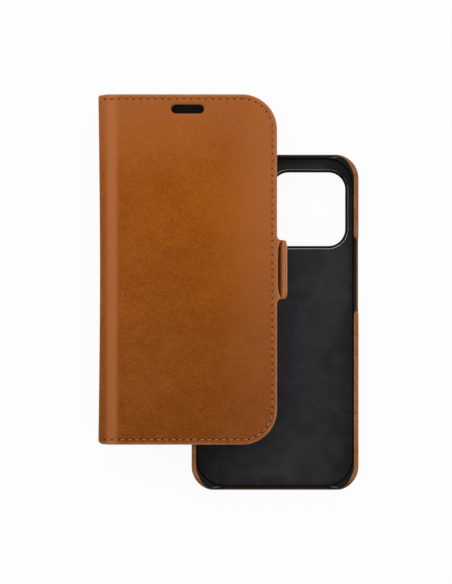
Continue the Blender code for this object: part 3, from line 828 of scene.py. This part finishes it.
def make_hinge_linings():
    """Strips of lining inside the leather, from the spine's lining towards each cover's."""
    under, over = HINGE_LINING_DEPTHS
    for side, name in ((1, "front"), (-1, "back")):
        rows = []
        for u in (u for u in STRIP if HINGE_LINING_FROM < u < u_of(SHOULDER_CREST)):
            low = LOW_END + HINGE_LINING_INSET + droop(u, *LOW_DROOP)
            high = HIGH_END - HINGE_LINING_INSET - droop(u, *HIGH_DROOP)
            corners = ((low, under), (high, under), (high, over), (low, over))
            rows.append([Cover(side).place(u, v, depth) for v, depth in corners])
        strip = loft(f"{name}_hinge_lining", rows, COVER_LINING)
        bend_at_hinge(strip, side)


# Small trims.


def band(name, plan, thickness, cover, depths, material):
    """A thin closed wall just inside an opening's plan, between two depths."""
    outer, inner = plan(-0.03), plan(-thickness)
    corners = ((outer, depths[0]), (outer, depths[1]), (inner, depths[1]), (inner, depths[0]))
    return endless(name, [[cover.place(u, v, depth) for u, v in ring] for ring, depth in corners], material)


def make_trims():
    slot_depths, window_depths = (0.4, COVER_STACK - 0.02), (0.35, COVER_STACK - 0.05)
    slot = band("speaker_slot_edge", slot_plan, 0.22, Cover(1), slot_depths, SLOT_BLACK)
    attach(slot, "front_cover")
    window = band("cover_window_binding", window_plan, 0.35, Cover(-1), window_depths, BURNISHED_AND_SHADED)
    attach(window, "back_cover")


# Stitching.


def stitch_plan():
    """The line of stitches round a cover's three free sides, and the pitch that fills it evenly."""
    start = u_of(STITCHES_FROM_SPINE)
    corner = FORE_CORNER - STITCH_INSET
    plan = [(start, LOW_END + STITCH_INSET)]
    plan += arc(U_FORE - FORE_CORNER, LOW_END + FORE_CORNER, corner, 270, 360, 40)
    plan += arc(U_FORE - FORE_CORNER, HIGH_END - FORE_CORNER, corner, 0, 90, 40)
    plan += [(start, HIGH_END - STITCH_INSET)]
    length = sum(math.dist(a, b) for a, b in zip(plan, plan[1:]))
    return plan, length / round(length / STITCH_PITCH)


def spaced(plan, pitch):
    """(place, direction) for the middle of each stitch along a plan's points."""
    walked, wanted = 0.0, pitch / 2
    for a, b in zip(plan, plan[1:]):
        length = math.dist(a, b)
        along = [(q - p) / length for p, q in zip(a, b)]
        while wanted < walked + length:
            yield [p + way * (wanted - walked) for p, way in zip(a, along)], along
            wanted += pitch
        walked += length


def add_ring(bm, centre, side, up, reach, lift, count):
    """A ring of vertices about a centre, reach wide along side and lift high along up."""
    ring = []
    for i in range(count):
        angle = 2 * math.pi * i / count
        offset = side * (math.cos(angle) * reach) + up * (math.sin(angle) * lift)
        ring.append(bm.verts.new((centre + offset) * MM))
    return ring


def add_stitch(bm, centre, along, out, length):
    """A short arched length of thread whose ends dive into the leather."""
    rings = []
    steps = 8
    for i in range(steps + 1):
        t = i / steps * 2 - 1
        reach = THREAD * math.sqrt(max(1 - t**4, 0.02))
        middle = centre + along * (t * length / 2) + out * (THREAD * (0.55 - 1.25 * t**4))
        rings.append(add_ring(bm, middle, out.cross(along), out, reach, 0.8 * reach, 8))
    fill_solid(bm, rings)


def add_hole(bm, centre, along, out):
    """A needle hole as painted shade: a flat dark dot on the floor of the stitches' groove."""
    rings = []
    for share, height in ((1.0, -0.1), (1.0, 0.02), (0.8, 0.035)):
        reach = HOLE * share
        rings.append(add_ring(bm, centre + out * height, along, out.cross(along), reach, reach, 12))
    fill_solid(bm, rings)


def sewn(name, threads, holes):
    """The two pieces of a row of stitches: its thread and its needle holes."""
    thread = mesh_piece(f"{name}_thread", threads, THREAD_MATERIAL, sharp=80.0)
    return thread, mesh_piece(f"{name}_holes", holes, HOLE_SHADE_MATERIAL, sharp=80.0)


def stitch_row(name, cover, plan, pitch):
    """Threads and needle holes along a plan, in the groove on a cover's outer face."""
    threads, holes = bmesh.new(), bmesh.new()
    draw = random.Random(7)
    for i, ((u, v), (du, dv)) in enumerate(spaced(plan, pitch)):
        centre = Vector(cover.place(u, v, GROOVE_SIDE))
        ahead = Vector(cover.place(u + du * 0.1, v + dv * 0.1, GROOVE_SIDE))
        along = (ahead - centre).normalized()
        out = cover.normal(u)
        tilt = draw.uniform(-0.05, 0.05)
        heading = (along + out.cross(along) * tilt).normalized()
        if i == 0:
            add_hole(holes, centre - along * (pitch / 2), along, out)
        add_stitch(threads, centre, heading, out, STITCH_LENGTH * draw.uniform(0.94, 1.06))
        add_hole(holes, centre + along * (pitch / 2), along, out)
    for piece in sewn(name, threads, holes):
        bend_at_hinge(piece, cover.side)


def make_stitching():
    stitch_row("front_cover_outer", Cover(1), *stitch_plan())
    stitch_row("back_cover_outer", Cover(-1), *stitch_plan())


# Strap.


def strap_path():
    """(x, z, outward x, outward z, run) along the strap's outer face, from its crease to its tip."""
    radius = (STRAP_HIGH.z - STRAP_LOW.z) / 2
    height = STRAP_LOW.z + radius
    centre_x = STRAP_HIGH.x - radius
    start_x = FORE + STRAP_ROOT + HINGE_GAP
    first = math.asin((start_x - centre_x) / radius)
    path = []
    steps = 36
    for i in range(steps + 1):
        angle = math.pi / 2 - first - (math.pi - first) * i / steps
        out_x, out_z = math.cos(angle), math.sin(angle)
        run = radius * (math.pi / 2 - first - angle)
        path.append((centre_x + radius * out_x, height + radius * out_z, out_x, out_z, run))
    bend = path[-1][4]
    straight = centre_x - STRAP_LOW.x - STRAP_TIP_CORNER
    for i in range(1, STRAP_STEPS + 1):
        along = straight * i / STRAP_STEPS
        path.append((centre_x - along, STRAP_LOW.z, 0.0, -1.0, bend + along))
    for sine, _ in quarter(ARC_STEPS)[1:]:
        along = straight + STRAP_TIP_CORNER * sine
        path.append((centre_x - along, STRAP_LOW.z, 0.0, -1.0, bend + along))
    return path


def strap_half(run, end):
    """Half the strap's width: it draws in a little round the bend, and is round at its tip."""
    pinch = smooth(run / PINCH_GROWS_OVER) - smooth((run - PINCH_FADES_FROM) / PINCH_FADES_OVER)
    half = STRAP_HALF - STRAP_PINCH * pinch
    past = run - (end - STRAP_TIP_CORNER)
    if past <= 0:
        return half
    return half - STRAP_TIP_CORNER + math.sqrt(max(STRAP_TIP_CORNER**2 - past**2, 0.0))


def drawn_back(out_x, inset):
    """How far the strap's sides lie back from the line of its bend."""
    return STRAP_SIDE_ROUND * max(out_x, 0.0) * (1 - smooth(inset / STRAP_SIDE_REACH))


# (inset from the edge, depth) round half of the strap leather's section.
STRAP_SECTION = ((3.2, 0.0), (2.75, 0.0), (2.4, 0.08), (2.05, 0.0), (0.5, 0.0), (0.2, 0.03), (0.05, 0.12))
STRAP_SECTION += ((0.0, 0.28), (0.0, TURNED - 0.2), (0.15, TURNED), (STRAP_TURN - 0.05, TURNED))
STRAP_SECTION += ((STRAP_TURN, STRAP_LEATHER),)


def strap_row(path_point, end):
    """A row round the strap's leather at a point of its path."""
    x, z, out_x, out_z, run = path_point
    half = strap_half(run, end)
    eased = STRAP_START_EASED * (1 - smooth(run / STRAP_START_EASED_OVER))
    turned = STRAP_LEATHER + (TURNED - STRAP_LEATHER) * smooth(run - TURNED_FROM)
    inside = TURNED if run > end - STRAP_TURN else STRAP_LEATHER
    row = []
    for side, part in ((1, STRAP_SECTION[::-1]), (-1, STRAP_SECTION)):
        for inset, depth in part:
            sunk = max(depth, eased) if depth < STRAP_LEATHER else min(max(depth, inside), turned)
            back = drawn_back(out_x, inset)
            row.append((x - out_x * sunk - back, MIDDLE_V + side * (half - inset), z - out_z * sunk))
    return row


def ply_row(x, z, out_x, out_z, half, section, side):
    """A closed row round a flat ply of the strap, from (inset, depth) of half its section."""
    row = []
    for inset, depth in section:
        back = drawn_back(out_x, inset)
        row.append((x - out_x * depth - back, side * (half - inset), z - out_z * depth))
    both = [(x, -away, z) for x, away, z in row] + row[::-1]
    return [(x, MIDDLE_V + away, z) for x, away, z in both]


def curl_with_strap(piece):
    """The strap is sewn down at its crease. This only bakes a piece's placement into its mesh; nothing curls
    it with the strap.
    """
    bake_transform(piece)


def make_strap():
    path = strap_path()
    end = path[-1][4]
    skin = loft("strap_leather_skin", [strap_row(point, end) for point in path], STRAP_TAN)
    # Painted highlight along the strap's outer bend, with its pull-up paling.
    wear_and_sheen_share = skin.data.attributes.new("wear_and_sheen_share", "FLOAT", "POINT")
    for vertex, value in zip(skin.data.vertices, wear_and_sheen_share.data):
        value.value = smooth((vertex.co.x / MM - STRAP_HIGH.x + 0.1) / STRAP_SHEEN_BAND + 1)
    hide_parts("strap_leather")
    curl_with_strap(skin)
    make_strap_lining(path, end)
    make_strap_board()
    make_strap_stitches()
    make_strap_crease(path)


def make_strap_lining(path, end):
    """The strap's lining, laid on the turned edge and drawn in from it a little."""
    outer, inner = TURNED + 0.04, STRAP_THICKNESS
    section = ((2.2, outer), (1.0, outer), (0.0, outer), (0.0, inner - 0.12), (0.12, inner))
    section += ((1.0, inner), (2.2, inner))
    section = [(STRAP_LINING_INSET + inset, depth) for inset, depth in section]
    rows = []
    for *point, run in path[8:]:
        if run <= end - STRAP_LINING_INSET:
            rows.append(ply_row(*point, strap_half(run, end), section, 1))
    lining = loft("strap_lining_skin", rows, COVER_LINING)
    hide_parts("strap_lining")
    curl_with_strap(lining)


def make_strap_board():
    """The strap's stiffener, in strips narrow enough to bend, with a window round its magnet."""
    low, high = box_mm("strap_board")
    magnet_low, magnet_high = box_mm("strap_magnet")
    opening = (magnet_low.x - INLAY_GAP, magnet_high.x + INLAY_GAP)
    inner = (magnet_high.y - magnet_low.y) / 2 + INLAY_GAP
    corner = STRAP_TIP_CORNER - (STRAP_HIGH.y - high.y)
    stations = [low.x + corner * (1 - cosine) for _, cosine in quarter(SMALL_STEPS)[1:-1]]
    for start, end, steps in ((low.x + corner, opening[1], 3), (opening[1], high.x, STRAP_STEPS)):
        stations += [start + (end - start) * i / steps for i in range(steps)]
    stations = sorted(stations + [opening[0], high.x])
    columns = []
    for x in stations:
        past = max(low.x + corner - x, 0.0)
        half = (high.y - low.y) / 2 - corner + math.sqrt(corner**2 - past**2)
        columns.append([(x, MIDDLE_V + y) for y in (-half, -inner, inner, half)])
    bm = bmesh.new()
    under = vertex_rows(bm, [[(x, y, low.z) for x, y in column] for column in columns])
    over = vertex_rows(bm, [[(x, y, high.z) for x, y in column] for column in columns])
    cells = set()
    for i, (x, after) in enumerate(zip(stations, stations[1:])):
        in_window = opening[0] <= x and after <= opening[1]
        cells |= {(i, j) for j in range(3) if j != 1 or not in_window}
    for i, j in sorted(cells):
        ring = [(i, j), (i + 1, j), (i + 1, j + 1), (i, j + 1)]
        for level in (under, over):
            bm.faces.new([level[a][b] for a, b in ring])
        neighbours = ((i, j - 1), (i + 1, j), (i, j + 1), (i - 1, j))
        for (a, b), (c, d), beside in zip(ring, ring[1:] + ring[:1], neighbours):
            if beside not in cells:
                bm.faces.new((under[a][b], under[c][d], over[c][d], over[a][b]))
    bmesh.ops.delete(bm, geom=[v for v in bm.verts if not v.link_faces], context="VERTS")
    board = mesh_piece("strap_board_core", bm, BOARD)
    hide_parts("strap_board")
    curl_with_strap(board)


def make_strap_stitches():
    """Stitches up one side of the strap from its bend, round its tip and back."""
    corner = STRAP_TIP_CORNER - STITCH_INSET
    tip, bend = STRAP_LOW.x + STRAP_TIP_CORNER, STRAP_HIGH.x - (STRAP_HIGH.z - STRAP_LOW.z) / 2
    sides = [side.y + way * STRAP_TIP_CORNER for side, way in ((STRAP_HIGH, -1), (STRAP_LOW, 1))]
    plan = [(bend, STRAP_HIGH.y - STITCH_INSET)] + arc(tip, sides[0], corner, 90, 180)
    plan += arc(tip, sides[1], corner, 180, 270) + [(bend, STRAP_LOW.y + STITCH_INSET)]
    out = Vector((0.0, 0.0, -1.0))
    threads, holes = bmesh.new(), bmesh.new()
    for place, along in spaced(plan, STITCH_PITCH):
        centre = Vector((*place, STRAP_LOW.z + STRAP_STITCH_SUNK))
        along = Vector((*along, 0.0))
        add_stitch(threads, centre, along, out, STITCH_LENGTH)
        add_hole(holes, centre + along * (STITCH_PITCH / 2), along, out)
    for piece in sewn("strap", threads, holes):
        curl_with_strap(piece)


def make_strap_crease(path):
    """The thin ply that carries the strap: it leaves the cover's edge below the scallop."""
    route = ((0.02, -2.3), (0.45, -2.5), (0.85, -2.5), (1.15, -2.0))
    route += ((1.35, -1.35), (1.6, -1.05), (1.95, -1.1))
    trail = [(FORE + x, TOP + z, 0.0, 1.0) for x, z in route]
    under = 2 * CREASE_PLY
    trail += [(x - out_x * under, z - out_z * under, out_x, out_z) for x, z, out_x, out_z, _ in path[2:14:2]]
    section = [(CREASE_INSET + inset, 0.0) for inset in (2.0, 1.0, 0.0)]
    section += [(CREASE_INSET + inset, CREASE_PLY) for inset in (0.0, 1.0, 2.0)]
    rows = [ply_row(*point, STRAP_HALF, section, -1) for point in trail]
    # Its dark colour is partly painted shade in the crease.
    crease = loft("strap_crease_ply", rows, FLESH_SIDE_AND_SHADE)
    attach(crease, "front_cover")


# Pockets.


def make_pockets():
    """Each pocket's leather, with a rolled mouth and rounded edges."""
    for name in ("cash_pocket", "card_pocket_1", "card_pocket_2", "card_pocket_3"):
        low, high = box_mm(name)
        corner = FORE_CORNER - POCKET_FROM_EDGE
        rows = []
        for inset, z in ((0.14, low.z), (0.0, low.z + 0.13), (0.0, high.z - 0.13), (0.14, high.z)):
            plan = [(low.x + inset, low.y + inset)]
            plan += arc(high.x - corner, low.y + corner, corner - inset, 270, 360)
            plan += [(high.x - inset, high.y - inset), (low.x + inset, high.y - inset)]
            rows.append([(x, y, z) for x, y in plan])
        piece = loft(f"{name}_leather", rows, POCKET_TAN)
        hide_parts(name)
        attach(piece, "front_cover")


# Tray.

TRAY_X = (TRAY_LOW.x + TRAY_HIGH.x) / 2
TRAY_Y = (TRAY_LOW.y + TRAY_HIGH.y) / 2
HALF_X = (TRAY_HIGH.x - TRAY_LOW.x) / 2
HALF_Y = (TRAY_HIGH.y - TRAY_LOW.y) / 2
TRAY_HEIGHT = TRAY_HIGH.z - TRAY_LOW.z
TRAY_BED = BED_HIGH.z - TRAY_LOW.z
CORE_TOP = BED_LOW.z - TRAY_LOW.z - 0.1
SPACE_X = (BED_HIGH.x - BED_LOW.x) / 2 + 0.15
SPACE_Y = (BED_HIGH.y - BED_LOW.y) / 2 + 0.15


def dip(position, notch):
    centre, length = notch
    return smooth((length / 2 + NOTCH_RAMP / 2 - abs(position - centre)) / NOTCH_RAMP)


def rim_height(x, y):
    """The rim's height over the tray's underside: low at both ends and at the buttons."""
    if abs(y) > HALF_Y - TRAY_CORNER:
        return TRAY_HEIGHT - (TRAY_HEIGHT - TRAY_BED - END_WALL_HEIGHT) * dip(x, (0.0, 2 * END_LOW_HALF))
    notch = POWER_NOTCH if x > 0 else VOLUME_NOTCH
    return TRAY_HEIGHT - (TRAY_HEIGHT - TRAY_BED - BUTTON_WALL_HEIGHT) * dip(y, notch)


def notch_stations(notch):
    centre, length = notch
    return [centre + end * length / 2 + NOTCH_RAMP * (i / 12 - 0.5) for end in (-1, 1) for i in range(13)]


def tray_plan(half_x, half_y, corner):
    plan = arc(half_x - corner, -half_y + corner, corner, 270, 360)
    plan += [(half_x, y) for y in notch_stations(POWER_NOTCH)]
    plan += arc(half_x - corner, half_y - corner, corner, 0, 90)
    plan += arc(-half_x + corner, half_y - corner, corner, 90, 180)
    plan += [(-half_x, y) for y in reversed(notch_stations(VOLUME_NOTCH))]
    plan += arc(-half_x + corner, -half_y + corner, corner, 180, 270)
    return plan


def tray_inset(inset):
    return tray_plan(HALF_X - inset, HALF_Y - inset, TRAY_CORNER - inset)


def bed_plan(inset):
    return tray_plan(SPACE_X - inset, SPACE_Y - inset, PHONE_CORNER - inset)


TRAY_STATIONS = tray_inset(0.0)


def bareness(x, y):
    """1 where the rim is cut low and the core's own lip shows beside the leather, 0 elsewhere."""
    low_side = TRAY_BED + BUTTON_WALL_HEIGHT
    low_end = TRAY_BED + END_WALL_HEIGHT
    low = low_end if abs(y) > HALF_Y - TRAY_CORNER else low_side
    return (TRAY_HEIGHT - rim_height(x, y)) / (TRAY_HEIGHT - low)


def fold_width(x, y):
    """How far the leather is folded in over the rim: it narrows round each corner, towards the low end."""
    over_y, over_x = abs(y) - HALF_Y + TRAY_CORNER, abs(x) - HALF_X + TRAY_CORNER
    whole = HALF_X - SPACE_X
    if over_y <= 0:
        return whole + (BARE_SIDE_FOLD - whole) * bareness(x, y)
    turned = math.degrees(math.atan2(over_y, max(over_x, 0.0)))
    return whole + (BARE_END_FOLD - whole) * smooth((turned - FOLD_NARROWS_FROM) / FOLD_NARROWS_OVER)


def fold_plan(margin):
    """The plan of the leather's inner edge, drawn out by margin."""
    plan = []
    for station, (x, y) in zip(TRAY_STATIONS, tray_inset(1.0)):
        width = fold_width(*station) - margin
        plan.append((station[0] + (x - station[0]) * width, station[1] + (y - station[1]) * width))
    return plan


def lip_row(margin, drop):
    """A row of the core's lip: up beside the leather where that is narrow, and under it elsewhere."""
    row = []
    for station, out, within in zip(TRAY_STATIONS, fold_plan(-0.05), bed_plan(0.0)):
        share = smooth((math.dist(out, within) - 0.05) / LIP_SHOWS)
        place = [a + (b - a) * (1 - margin * share) for a, b in zip(within, out)]
        height = rim_height(*station) - CORE_IN + (CORE_IN - drop) * share
        row.append((TRAY_X + place[0], TRAY_Y + place[1], TRAY_LOW.z + height))
    return row


def at_tray(plan, heights):
    return [(TRAY_X + x, TRAY_Y + y, TRAY_LOW.z + z) for (x, y), z in zip(plan, heights)]


def rim_row(plan, drop):
    return at_tray(plan, [rim_height(*station) - drop for station in TRAY_STATIONS])


def flat_row(plan, z):
    return at_tray(plan, [z] * len(plan))


def bottom_rows(inset, z):
    rows = []
    for sine, cosine in quarter(BOTTOM_STEPS):
        plan = tray_inset(inset + TRAY_BOTTOM_ROUND * (1 - sine))
        rows.append(flat_row(plan, z + TRAY_BOTTOM_ROUND * (1 - cosine)))
    return rows


def camera_plan(grow):
    corner = CAMERA_CORNER + grow
    return rounded(RING_LOW.x - grow, RING_HIGH.x + grow, RING_LOW.y - grow, RING_HIGH.y + grow, corner)


def windowed_loft(name, rows, material):
    """A tray layer through its rows, with the camera's window cut through its floor."""
    bm = bmesh.new()
    rows = vertex_rows(bm, rows)
    bridge_all(bm, rows)
    heights = (rows[0][0].co.z / MM, rows[-1][0].co.z / MM)
    ring = vertex_rows(bm, [[(x, y, z) for x, y in camera_plan(0.1)] for z in heights])
    bridge(bm, *ring)
    for row, hole, way in ((rows[0], ring[0], -1), (rows[-1], ring[1], 1)):
        edges = row_edges(row, True) + row_edges(hole, True)
        bmesh.ops.triangle_fill(bm, edges=edges, use_beauty=True, normal=(0, 0, way))
    return mesh_piece(name, bm, material, sharp=45.0)


def paint_cut_rim(wrap):
    """Edge paint on the leather's raw edge, where the rim is cut low and isn't folded over; its dark colour
    is also painted shade there.
    """
    wrap.data.materials.append(BURNISHED_AND_SHADED)
    for polygon in wrap.data.polygons:
        centre = polygon.center / MM
        x, y = centre.x - TRAY_X, centre.y - TRAY_Y
        if bareness(x, y) > 0.5 and centre.z - TRAY_LOW.z > rim_height(x, y) - RIM_ROUND * 0.8:
            polygon.material_index = 1


def make_tray_wrap():
    """The tray's leather: up its outside, over the rim, and back down beside the core."""
    rows = bottom_rows(0.0, 0.0)
    for sine, cosine in quarter(SMALL_STEPS):
        rows.append(rim_row(tray_inset(RIM_ROUND * (1 - cosine)), RIM_ROUND * (1 - sine)))
    rows += [rim_row(fold_plan(margin), drop) for margin, drop in ((0.2, 0.0), (0.06, 0.06), (0.0, 0.2))]
    rows += [rim_row(fold_plan(0.0), TRAY_LEATHER), rim_row(tray_inset(TRAY_LEATHER), TRAY_LEATHER)]
    rows += reversed(bottom_rows(TRAY_LEATHER, TRAY_LEATHER))
    wrap = windowed_loft("tray_leather_wrap", rows, RIM_TAN)
    paint_cut_rim(wrap)
    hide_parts("tray_leather")
    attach(wrap, "tray")


def make_tray_core():
    """The moulded core, with its lip inside the leather and the hollow that holds the phone."""
    rows = bottom_rows(CORE_IN, CORE_IN) + [rim_row(tray_inset(CORE_IN), CORE_IN)]
    lip = ((0.0, CORE_IN), (0.0, 0.15), (0.15, 0.04), (0.75, 0.04), (1.0, 0.2), (1.0, CORE_IN))
    rows += [lip_row(margin, drop) for margin, drop in lip]
    rows += [flat_row(bed_plan(inset), CORE_TOP + up) for inset, up in ((0.0, 0.35), (0.1, 0.1), (0.35, 0.0))]
    core = windowed_loft("tray_core", rows, SHELL_BLACK)
    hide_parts("tray_shell", "dock_plate_upper", "dock_plate_lower")
    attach(core, "tray")


def make_tray_bed():
    """The microfibre that the phone lies on, with a rounded edge."""
    profile = ((0.5, CORE_TOP + 0.02), (0.5, TRAY_BED - 0.12), (0.62, TRAY_BED - 0.02), (0.8, TRAY_BED))
    rows = [flat_row(bed_plan(inset), z) for inset, z in profile]
    bed = windowed_loft("tray_bed", rows, MICROFIBRE)
    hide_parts("tray_lining")
    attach(bed, "tray")


def make_camera_ring():
    """The moulded ring that lines the camera's window, with eased edges."""
    low, high = RING_LOW.z, RING_HIGH.z
    profile = ((0.0, low + 0.15), (-0.15, low), (-1.0, low), (-1.2, low + 0.2), (-1.2, high + 0.3))
    profile += ((-1.05, high + 0.45), (-0.2, high + 0.45), (0.0, high + 0.25))
    rows = [[(x, y, z) for x, y in camera_plan(grow)] for grow, z in profile]
    ring = endless("camera_ring_moulding", rows, SHELL_BLACK)
    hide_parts("camera_ring")
    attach(ring, "tray")


# Stage, light and camera.

FLOOR_GLOW = 0.94

# The studio's walls: how high they start and stop to darken, how bright they are below and above
# that, and which way they lean. Overhead is dark, so leather facing the camera keeps its full colour.
WORLD_CAP = (0.66, 0.96, 1.05, 0.03)
WORLD_LEAN = (0.28, 0.35, 0.0)

# Each light's name, place, size and power. They aim at LIT_POINT.
LIGHTS = (
    ("spine_softbox", (-0.42, 0.12, 1.0), (0.16, 1.1), 2.2),
    ("top_softbox", (0.2, 0.8, 0.8), (1.1, 0.4), 2.5),
)
LIT_POINT = (0.0, 0.0, 0.01)

# The camera looks straight down. One millimetre of the object is this many pixels in the picture.
PIXELS_PER_MM = 1 / 0.453
PICTURE_HEIGHT = 584
CAMERA_HEIGHT = 2.0
CAMERA_SHIFT = (-1.15, 0.3)


def make_stage():
    bm = bmesh.new()
    bmesh.ops.create_grid(bm, x_segments=1, y_segments=1, size=3.0)
    floor = mesh_piece("floor", bm, floor_material())
    floor.location.z = -0.0002


def floor_material():
    """A white sweep: plain to the lights, and brightened for the camera and for reflections."""
    n = Nodes("floor")
    set_inputs(n.shader, {"Base Color": (0.86, 0.86, 0.86, 1.0), "Roughness": 0.9})
    path = n.add("LightPath")
    seen = n.product(n.maths("MAXIMUM", path["Is Camera Ray"], path["Is Glossy Ray"]), FLOOR_GLOW)
    mixed = n.add("MixShader", {0: seen, 1: n.shader.outputs[0], 2: n.add("Emission")[0]})
    set_inputs(n.tree.nodes["Material Output"], {"Surface": mixed[0]})
    return n.material


def make_lights():
    for name, place, size, power in LIGHTS:
        light = bpy.data.lights.new(name, "AREA")
        light.shape = "RECTANGLE"
        light.size, light.size_y = size
        light.energy = power
        obj = add_object(name, light)
        obj.location = place
        obj.rotation_mode = "QUATERNION"
        obj.rotation_quaternion = (Vector(LIT_POINT) - Vector(place)).to_track_quat("-Z", "Y")


def make_world():
    world = bpy.data.worlds.new("studio")
    world.use_nodes = True
    bpy.context.scene.world = world
    tree = world.node_tree
    place = add_node(tree, "TexCoord").outputs["Generated"]
    height, lean = (
        add_node(tree, "VectorMath", {0: place, 1: way}, operation="DOT_PRODUCT").outputs["Value"]
        for way in ((0.0, 0.0, 1.0), WORLD_LEAN)
    )
    limits = dict(zip(("From Min", "From Max", "To Min", "To Max"), WORLD_CAP))
    cap = add_node(tree, "MapRange", {"Value": height, **limits}, interpolation_type="SMOOTHSTEP")
    side = add_node(tree, "Math", {0: lean, 1: 1.0}, operation="ADD")
    both = {0: cap.outputs["Result"], 1: side.outputs[0]}
    strength = add_node(tree, "Math", both, operation="MULTIPLY").outputs[0]
    set_inputs(tree.nodes["Background"], {"Color": (1.0, 1.0, 1.0, 1.0), "Strength": strength})


def make_camera():
    camera = bpy.data.cameras.new("camera")
    camera.sensor_width = 36.0
    seen = PICTURE_HEIGHT / PIXELS_PER_MM * MM
    camera.lens = camera.sensor_width * CAMERA_HEIGHT / seen
    camera.clip_start, camera.clip_end = 0.05, 20.0
    obj = add_object("camera", camera)
    obj.location = (CAMERA_SHIFT[0] * MM, CAMERA_SHIFT[1] * MM, CAMERA_HEIGHT + TOP * MM)
    bpy.context.scene.camera = obj


def main():
    make_skins()
    make_hinge_linings()
    make_trims()
    make_stitching()
    make_strap()
    make_pockets()
    make_tray_wrap()
    make_tray_core()
    make_tray_bed()
    make_camera_ring()
    make_stage()
    make_world()
    make_lights()
    make_camera()
    bpy.context.scene.view_settings.view_transform = "Standard"


main()
